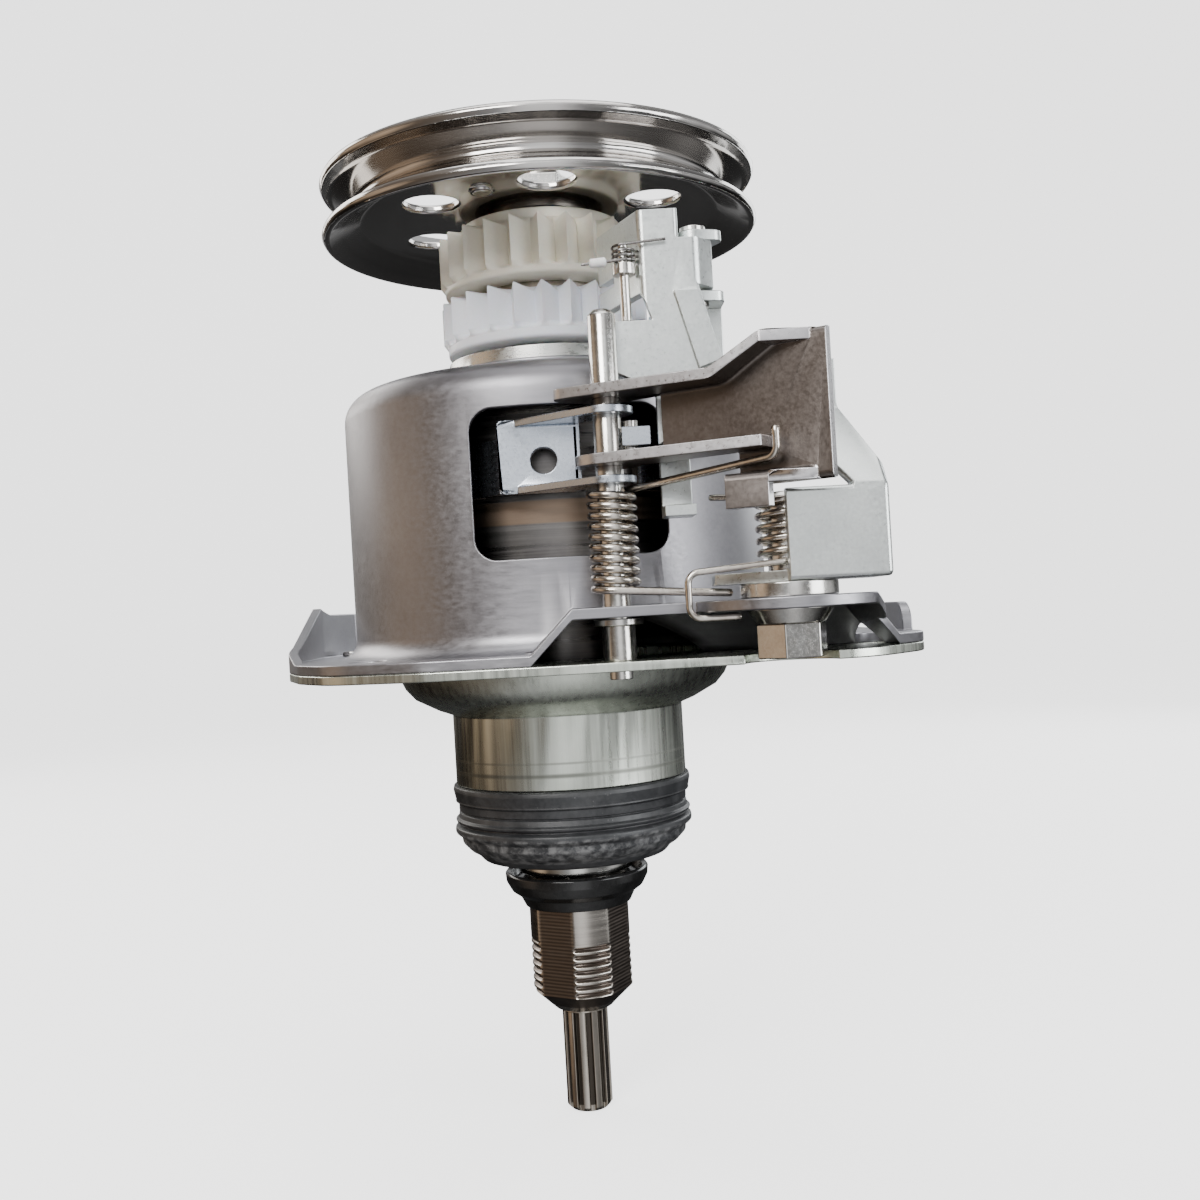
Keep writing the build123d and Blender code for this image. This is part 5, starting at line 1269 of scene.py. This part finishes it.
@dataclass
class SealAndTube:
    """The parts below the housing: water seal, drip ring, spin tube and wash spline.

    A corner of an outline is its distance from the axis, its height and the radius that
    rounds it.
    """

    seal_outline: tuple[Corner, ...] = (
        (28.0, -17.4, 0.3), (29.7, -17.6, 0.5), (29.9, -18.8, 0.5), (29.4, -21.2, 0.4), (29.5, -21.6, 0.2),
        (28.7, -22.0, 0.2), (28.7, -23.8, 0.2), (28.0, -24.1, 0.2), (28.7, -24.4, 0.2), (28.9, -25.6, 0.3),
        (29.7, -26.1, 0.3), (29.4, -26.7, 0.2), (28.4, -27.0, 0.2), (28.5, -27.4, 0.2), (29.8, -27.9, 0.6),
        (29.9, -29.4, 0.9), (28.4, -30.4, 0.5), (28.2, -32.0, 1.0), (26.4, -33.9, 0.8), (24.6, -35.0, 0.8),
        (23.2, -36.6, 1.2), (19.5, -37.5, 1.2), (15.0, -37.3, 0.3), (14.5, -36.6, 0.2), (15.2, -36.0, 0.3),
        (19.0, -35.2, 1.0), (24.0, -32.4, 1.5), (26.4, -28.0, 1.5), (26.8, -18.0, 0.6))
    ring_outline: tuple[Corner, ...] = (
        (12.6, -41.4, 0.3), (15.2, -42.0, 0.5), (15.6, -43.4, 0.6), (16.6, -40.7, 0.2), (17.6, -40.2, 0.3),
        (18.1, -40.9, 0.5), (17.9, -42.8, 1.0), (16.6, -45.2, 1.2), (14.6, -46.6, 0.8), (13.9, -48.0, 0.6),
        (13.3, -49.2, 0.4), (12.6, -49.3, 0.1))
    seal_steps: int = 4
    ring_steps: int = 5
    segments: int = 160
    tube_r: float = 12.5
    tube_bore: float = 7.5
    tube_top: float = 25.0
    tube_edge: float = 0.4
    bore_edge: float = 0.2
    flat_from_axis: float = 11.4
    flat_turn: float = 58.0
    flat_top: float = -46.6
    flat_bottom: float = -70.6
    flat_above: float = 0.1
    land_start: float = 0.25
    land_blend: float = 0.35
    row_end: float = -70.4
    row: float = 0.2
    nose_r: float = 7.2
    nose_z: float = -75.3
    nose_round: float = 0.7
    mouth_r: float = 6.4
    mouth_z: float = -75.4
    mouth_round: float = 0.4
    mouth_top: float = -66.2
    mouth_clear: float = 2.2
    bore_z: float = -66.0
    thread: Span = (-72.4, -57.2)
    thread_pitch: float = 1.85
    thread_depth: float = 0.75
    thread_steepness: float = 2.4
    thread_run: float = 0.6
    line_pitch: float = 0.85
    line_depth: float = 0.035
    nose_steps: int = 5
    tube_segments: int = 240
    tube_sharp: float = 40.0
    sleeve: Edges = Edges(cut=0.25)
    spline: Edges = Edges(cut=0.12)

    def build(self) -> None:
        """Make the seal, the ring and the tube."""
        boot = rounded(self.seal_outline, True, self.seal_steps)
        ring = rounded(self.ring_outline, True, self.ring_steps)
        place(lathe("seal_boot", boot, RUBBER, self.segments), "water_seal")
        place(lathe("drip_ring", ring, GLOSS, self.segments), "v_ring")
        tube = lathe("threaded_tube", self._outline(), TUBE, self.tube_segments, self._cut, self.tube_sharp)
        place(tube, "spin_tube")
        skin("seal_sleeve", BEARING, self.sleeve)
        skin("wash_shaft", SPLINE, self.spline)

    def _outline(self) -> np.ndarray:
        """Radius and height down the outside of the tube, round its nose and up its bore.

        Returns:
            The outline, with a row of points for each small step where the thread is cut.
        """
        rows = np.arange(self.flat_top, self.row_end, -self.row)
        above = [self.tube_top, self.tube_top - self.tube_edge, self.flat_top + self.tube_edge]
        side = np.concatenate([above, rows, [self.flat_bottom]])
        width = np.full(len(side), self.tube_r)
        width[0] -= self.tube_edge
        nose = [(self.tube_r, self.flat_bottom, 0), (self.nose_r, self.nose_z, self.nose_round),
                (self.mouth_r, self.mouth_z, self.mouth_round), (self.mouth_r, self.mouth_top, 0)]
        bore = [(self.tube_bore, self.bore_z), (self.tube_bore, self.tube_top - self.bore_edge),
                (self.tube_bore + self.bore_edge, self.tube_top)]
        nose = rounded(nose, False, self.nose_steps)[1:]
        return np.concatenate([np.stack([width, side], -1), nose, bore])

    def _cut(self, angle: np.ndarray, radius: np.ndarray, height: np.ndarray) -> Rings:
        """Cut the flats, the thread on the lands between them and the fine lines on the flats.

        The radius is the smaller of the round and the flats, where a flat is its distance
        over the cosine of the angle from its middle. The thread takes off a rounded
        triangle wave of the height less the pitch times the share of a turn.

        Args:
            angle: Angle of each point, in radians.
            radius: Its distance from the axis.
            height: Its height.
        Returns:
            The new distances, and the heights as they were.
        """
        eighth = math.pi / 4
        off = (angle - math.radians(self.flat_turn) + eighth) % (2 * eighth) - eighth
        flat = self.flat_from_axis / np.cos(off)
        outside = (radius > self.mouth_r + self.mouth_clear) & (height < self.flat_top + self.flat_above)
        land = np.clip((flat - self.tube_r + self.land_start) / self.land_blend, 0, 1)
        turned = (height - self.thread_pitch * angle / (2 * np.pi)) / self.thread_pitch % 1.0
        groove = smooth_step(1 - np.abs(turned - 0.5) * self.thread_steepness) * self.thread_depth * land
        bottom, top = self.thread
        groove *= np.clip((height - bottom) / self.thread_run, 0, 1)
        groove *= np.clip((top - height) / self.thread_run, 0, 1)
        lines = self.line_depth * np.cos(2 * np.pi * height / self.line_pitch) * (1 - land)
        return np.where(outside, np.minimum(radius - groove, flat + lines), radius), height


@dataclass
class Housing:
    """The pressed case, the flanged bearing housing below it, and what holds them together."""

    case: Edges = Edges(cut=0.3, flat=0.8)
    cup: Edges = Edges(cut=0.3)
    rivets: Edges = Edges(cut=0.35)

    def build(self) -> None:
        """Make the two pressings, whose bends the solids already have, and the rivets."""
        skin("case_shell", CASE, self.case)
        skin("bearing_housing", ZINC, self.cup)
        skin("tie_rivets", BRIGHT, self.rivets)


@dataclass
class Linkage:
    """The brake band, its clevis, the lever that pulls it and the pin that they turn on."""

    sheet: Edges = Edges(cut=0.22, bend=1.6, inner=0.8, sheet=2.3, segments=4)
    clevis: Edges = Edges(cut=0.2, bend=0.8, inner=0.6, sheet=1.5, segments=3)
    band: Edges = Edges(cut=0.15)
    pin: Edges = Edges(cut=0.22)

    def build(self) -> None:
        """Make every plate and pin of the linkage."""
        skin("brake_lever", LEVER, self.sheet, SHEARED_AND_HIGHLIT)
        skin("band_clevis", BLUED, self.clevis)
        skin("brake_band", BLUED, self.band)
        for node in ("pivot_pin", "pin_clip", "offset_pin"):
            skin(node, BRIGHT, self.pin)


@dataclass
class PawlGroup:
    """The pawl with its trip stud, and the bracket and bolt that carry it."""

    sheet: Edges = Edges(cut=0.22, bend=1.1, inner=0.7, sheet=2.0, segments=3)
    hardware: Edges = Edges(cut=0.3)
    stud: Edges = Edges(cut=0.15)

    def build(self) -> None:
        """Make the plates, then the bolt, washers and pins."""
        for node in ("pawl_arm", "pawl_bracket"):
            skin(node, SHEET, self.sheet)
        for node in ("bracket_bolt", "cone_washer", "bolt_washer"):
            skin(node, BRIGHT, self.hardware)
        for node in ("pawl_pin", "pawl_clip", "trip_pin"):
            skin(node, BRIGHT, self.stud)


@dataclass
class Drive:
    """The belt pulley on its hub, and the shaft that it drives."""

    rolled: Edges = Edges(cut=0.85, bend=1.4, inner=0.9, sheet=2.1, segments=4)
    nut: Edges = Edges(cut=0.4)
    hub: Edges = Edges(cut=0.3)

    def build(self) -> None:
        """Make the pressed pulley with rolled lips, its hub, washer, nut and shaft."""
        skin("pulley", PULLEY, self.rolled)
        skin("pulley_hub", TURNED, self.hub)
        skin("pulley_washer", BRIGHT, self.nut)
        skin("pulley_nut", BRIGHT, self.nut)
        skin("input_shaft", TURNED, self.hub)


@dataclass
class Inside:
    """What the case hides: drum, planets, bearings, bushes, lining and clutch spring."""

    groups: tuple[tuple[Finish, tuple[str, ...]], ...] = (
        (BEARING, ("lower_bearing_outer", "lower_bearing_balls", "lower_bearing_inner",
                   "upper_bearing_outer", "upper_bearing_balls", "upper_bearing_inner")),
        (LINING, ("band_lining",)),
        (GLOSS, ("shaft_seal",)),
        (BRONZE, ("tube_bushes", "sleeve_bushes")),
        (IRON, ("brake_drum",)),
        (TURNED, ("drum_cover", "ring_gear", "planet_carrier", "carrier_ring",
                  "planet_1", "planet_2", "planet_3", "planet_4")),
        (BRIGHT, ("cover_screws", "planet_pins")),
        (WIRE, ("clutch_spring",)),
    )

    def build(self) -> None:
        """Give each node its material."""
        for finish, nodes in self.groups:
            for node in nodes:
                dress(node, finish)


# Camera, floor and light


@dataclass(frozen=True)
class Eye:
    """The photograph's viewpoint, in metres and degrees, and the lens in millimetres."""

    place: Point = (0.0, -0.33076, 0.02406)
    yaw: float = 1.70
    pitch: float = 0.44
    roll: float = -3.31
    lens: float = 39.0
    sensor: float = 36.0
    nearest: float = 0.01
    farthest: float = 20.0

    def build(self) -> None:
        """Make the camera and choose it.

        Yaw and pitch give the direction ahead. The side is ahead crossed with upright, and
        the top is the side crossed with ahead. Roll turns these two about the direction.
        """
        yaw, pitch, roll = (math.radians(a) for a in (self.yaw, self.pitch, self.roll))
        ahead = Vector((math.sin(yaw) * math.cos(pitch), math.cos(yaw) * math.cos(pitch), math.sin(pitch)))
        side = ahead.cross(Vector((0, 0, 1))).normalized()
        top = side.cross(ahead)
        right = side * math.cos(roll) + top * math.sin(roll)
        up = top * math.cos(roll) - side * math.sin(roll)
        data = bpy.data.cameras.new("camera")
        data.lens = self.lens
        data.sensor_width = self.sensor
        data.clip_start = self.nearest
        data.clip_end = self.farthest
        camera = show("camera", data)
        rows = [(right[i], up[i], -ahead[i], self.place[i]) for i in range(3)]
        camera.matrix_world = Matrix((*rows, (0, 0, 0, 1)))
        bpy.context.scene.camera = camera


@dataclass(frozen=True)
class Lamp:
    """A soft square light, in metres and watts, and the point that it shines at."""

    name: str
    place: Point
    size: float
    power: float
    colour: Colour
    target: Point = (0.0, 0.0, 0.03)

    def build(self) -> None:
        """Make the light and turn it to its target."""
        data = bpy.data.lights.new(self.name, "AREA")
        data.shape = "SQUARE"
        data.size = self.size
        data.energy = self.power
        data.color = self.colour
        lamp = show(self.name, data)
        lamp.location = self.place
        way = Vector(self.target) - Vector(self.place)
        lamp.rotation_euler = way.to_track_quat("-Z", "Y").to_euler()


@dataclass(frozen=True)
class Surround:
    """Light from far off in broad soft fields, told apart by the direction that it comes from.

    A range maps a part of the direction, from its first two numbers to its last two.
    """

    height: Range = (-0.6, 0.6, 0.42, 0.66)
    sideways: Range = (0.15, 0.8, 1.0, 0.30)
    window_x: float = 0.05
    window_width: Range = (0.12, 0.34, 1.0, 0.0)
    window_ahead: Range = (-0.3, -0.7, 0.0, 1.0)
    window_light: float = 0.85
    far_sides: Range = (0.86, 0.97, 0.0, 0.6)
    behind: Range = (-0.2, 0.3, 0.0, 1.0)
    below: Range = (0.1, -0.2, 0.0, 1.0)
    shade: float = 0.9
    left: Range = (-0.95, -0.35, 1.0, 0.0)
    right_colour: Colour = (0.97, 0.98, 1.0)
    left_colour: Colour = (1.0, 0.74, 0.52)

    def build(self) -> None:
        """Make the surround: a bright window in front, warm at the left, dim low down behind."""
        world = bpy.data.worlds.new("surround")
        bpy.context.scene.world = world
        world.use_nodes = True
        world.node_tree.nodes.clear()
        net = Net(world.node_tree)
        x, y, z = net.split(net.add("ShaderNodeTexCoord").outputs["Generated"])
        aside = net.math("ABSOLUTE", x)
        tone = net.math("MULTIPLY", net.remap(z, *self.height), net.remap(aside, *self.sideways))
        from_middle = net.math("ABSOLUTE", net.math("SUBTRACT", x, self.window_x))
        window = net.math("MULTIPLY", net.remap(from_middle, *self.window_width),
                          net.remap(y, *self.window_ahead))
        tone = net.math("ADD", tone, net.math("MULTIPLY", window, self.window_light))
        tone = net.math("ADD", tone, net.remap(aside, *self.far_sides))
        dark = net.math("MULTIPLY", net.remap(y, *self.behind), net.remap(z, *self.below))
        kept = net.math("SUBTRACT", 1.0, net.math("MULTIPLY", dark, self.shade))
        warmth = net.mix(net.remap(x, *self.left), self.right_colour, self.left_colour)
        back = net.add("ShaderNodeBackground")
        net.link(net.scale_colour(warmth, net.math("MULTIPLY", tone, kept)), back.inputs["Color"])
        out = net.add("ShaderNodeOutputWorld")
        net.link(back.outputs["Background"], out.inputs["Surface"])


@dataclass(frozen=True)
class Studio:
    """A plain pale floor that runs up all round, with soft lights, in metres and watts."""

    floor_z: float = -0.1012
    middle_r: float = 0.0005
    flat_r: float = 2.2
    radius: float = 1.4
    rise: float = 3.4
    glow: float = 2.2
    curve_points: int = 32
    turn_points: int = 96
    lamps: tuple[Lamp, ...] = (
        Lamp("key", (-0.35, -0.8, 0.55), 0.45, 9.0, (1.0, 0.99, 0.97)),
        Lamp("fill", (0.75, -0.5, 0.15), 0.5, 5.5, (0.96, 0.98, 1.0)),
        Lamp("top", (0.05, -0.1, 1.0), 0.8, 5.0, (1.0, 1.0, 1.0)),
        Lamp("back_left", (-0.7, 0.6, 0.5), 0.6, 5.0, (1.0, 0.97, 0.92)),
        Lamp("back_right", (0.6, 0.7, 0.4), 0.6, 4.0, (0.95, 0.98, 1.0)),
    )

    def build(self) -> None:
        """Make the floor and the lights."""
        self._floor()
        for lamp in self.lamps:
            lamp.build()

    def _floor(self) -> None:
        """A round floor that curves up into a wall: flat, a quarter circle, then upright, turned about Z.

        It glows and is hidden from reflections, so that it stays pale and leaves the metal's light
        to the surround.
        """
        curve = np.linspace(0, np.pi / 2, self.curve_points)
        wall = self.flat_r + self.radius
        out = np.concatenate([[self.middle_r], self.flat_r + self.radius * np.sin(curve), [wall]])
        up = np.concatenate([[0.0], self.radius * (1 - np.cos(curve)), [self.rise]]) + self.floor_z
        turn = np.linspace(0, 2 * np.pi, self.turn_points, endpoint=False)[:, None]
        grid = np.stack(np.broadcast_arrays(out * np.cos(turn), out * np.sin(turn), up), -1)
        floor = surface("floor", grid[:, ::-1] / MM, PAPER, (True, False))
        shader = MATERIALS.get(PAPER).node_tree.nodes["Principled BSDF"]
        shader.inputs["Emission Color"].default_value = (1, 1, 1, 1)
        shader.inputs["Emission Strength"].default_value = self.glow
        floor.visible_glossy = False
        floor.visible_diffuse = False


def main() -> None:
    """Build the scene."""
    logging.basicConfig(level=logging.INFO)
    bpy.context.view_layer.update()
    for maker in (Eye(), Studio(), Surround(), Housing(), Drive(), Ratchets(), SealAndTube(), Linkage(),
                  PawlGroup(), Springs(), Inside()):
        LOG.info("building %s", type(maker).__name__)
        maker.build()


if __name__ == "__main__":
    main()
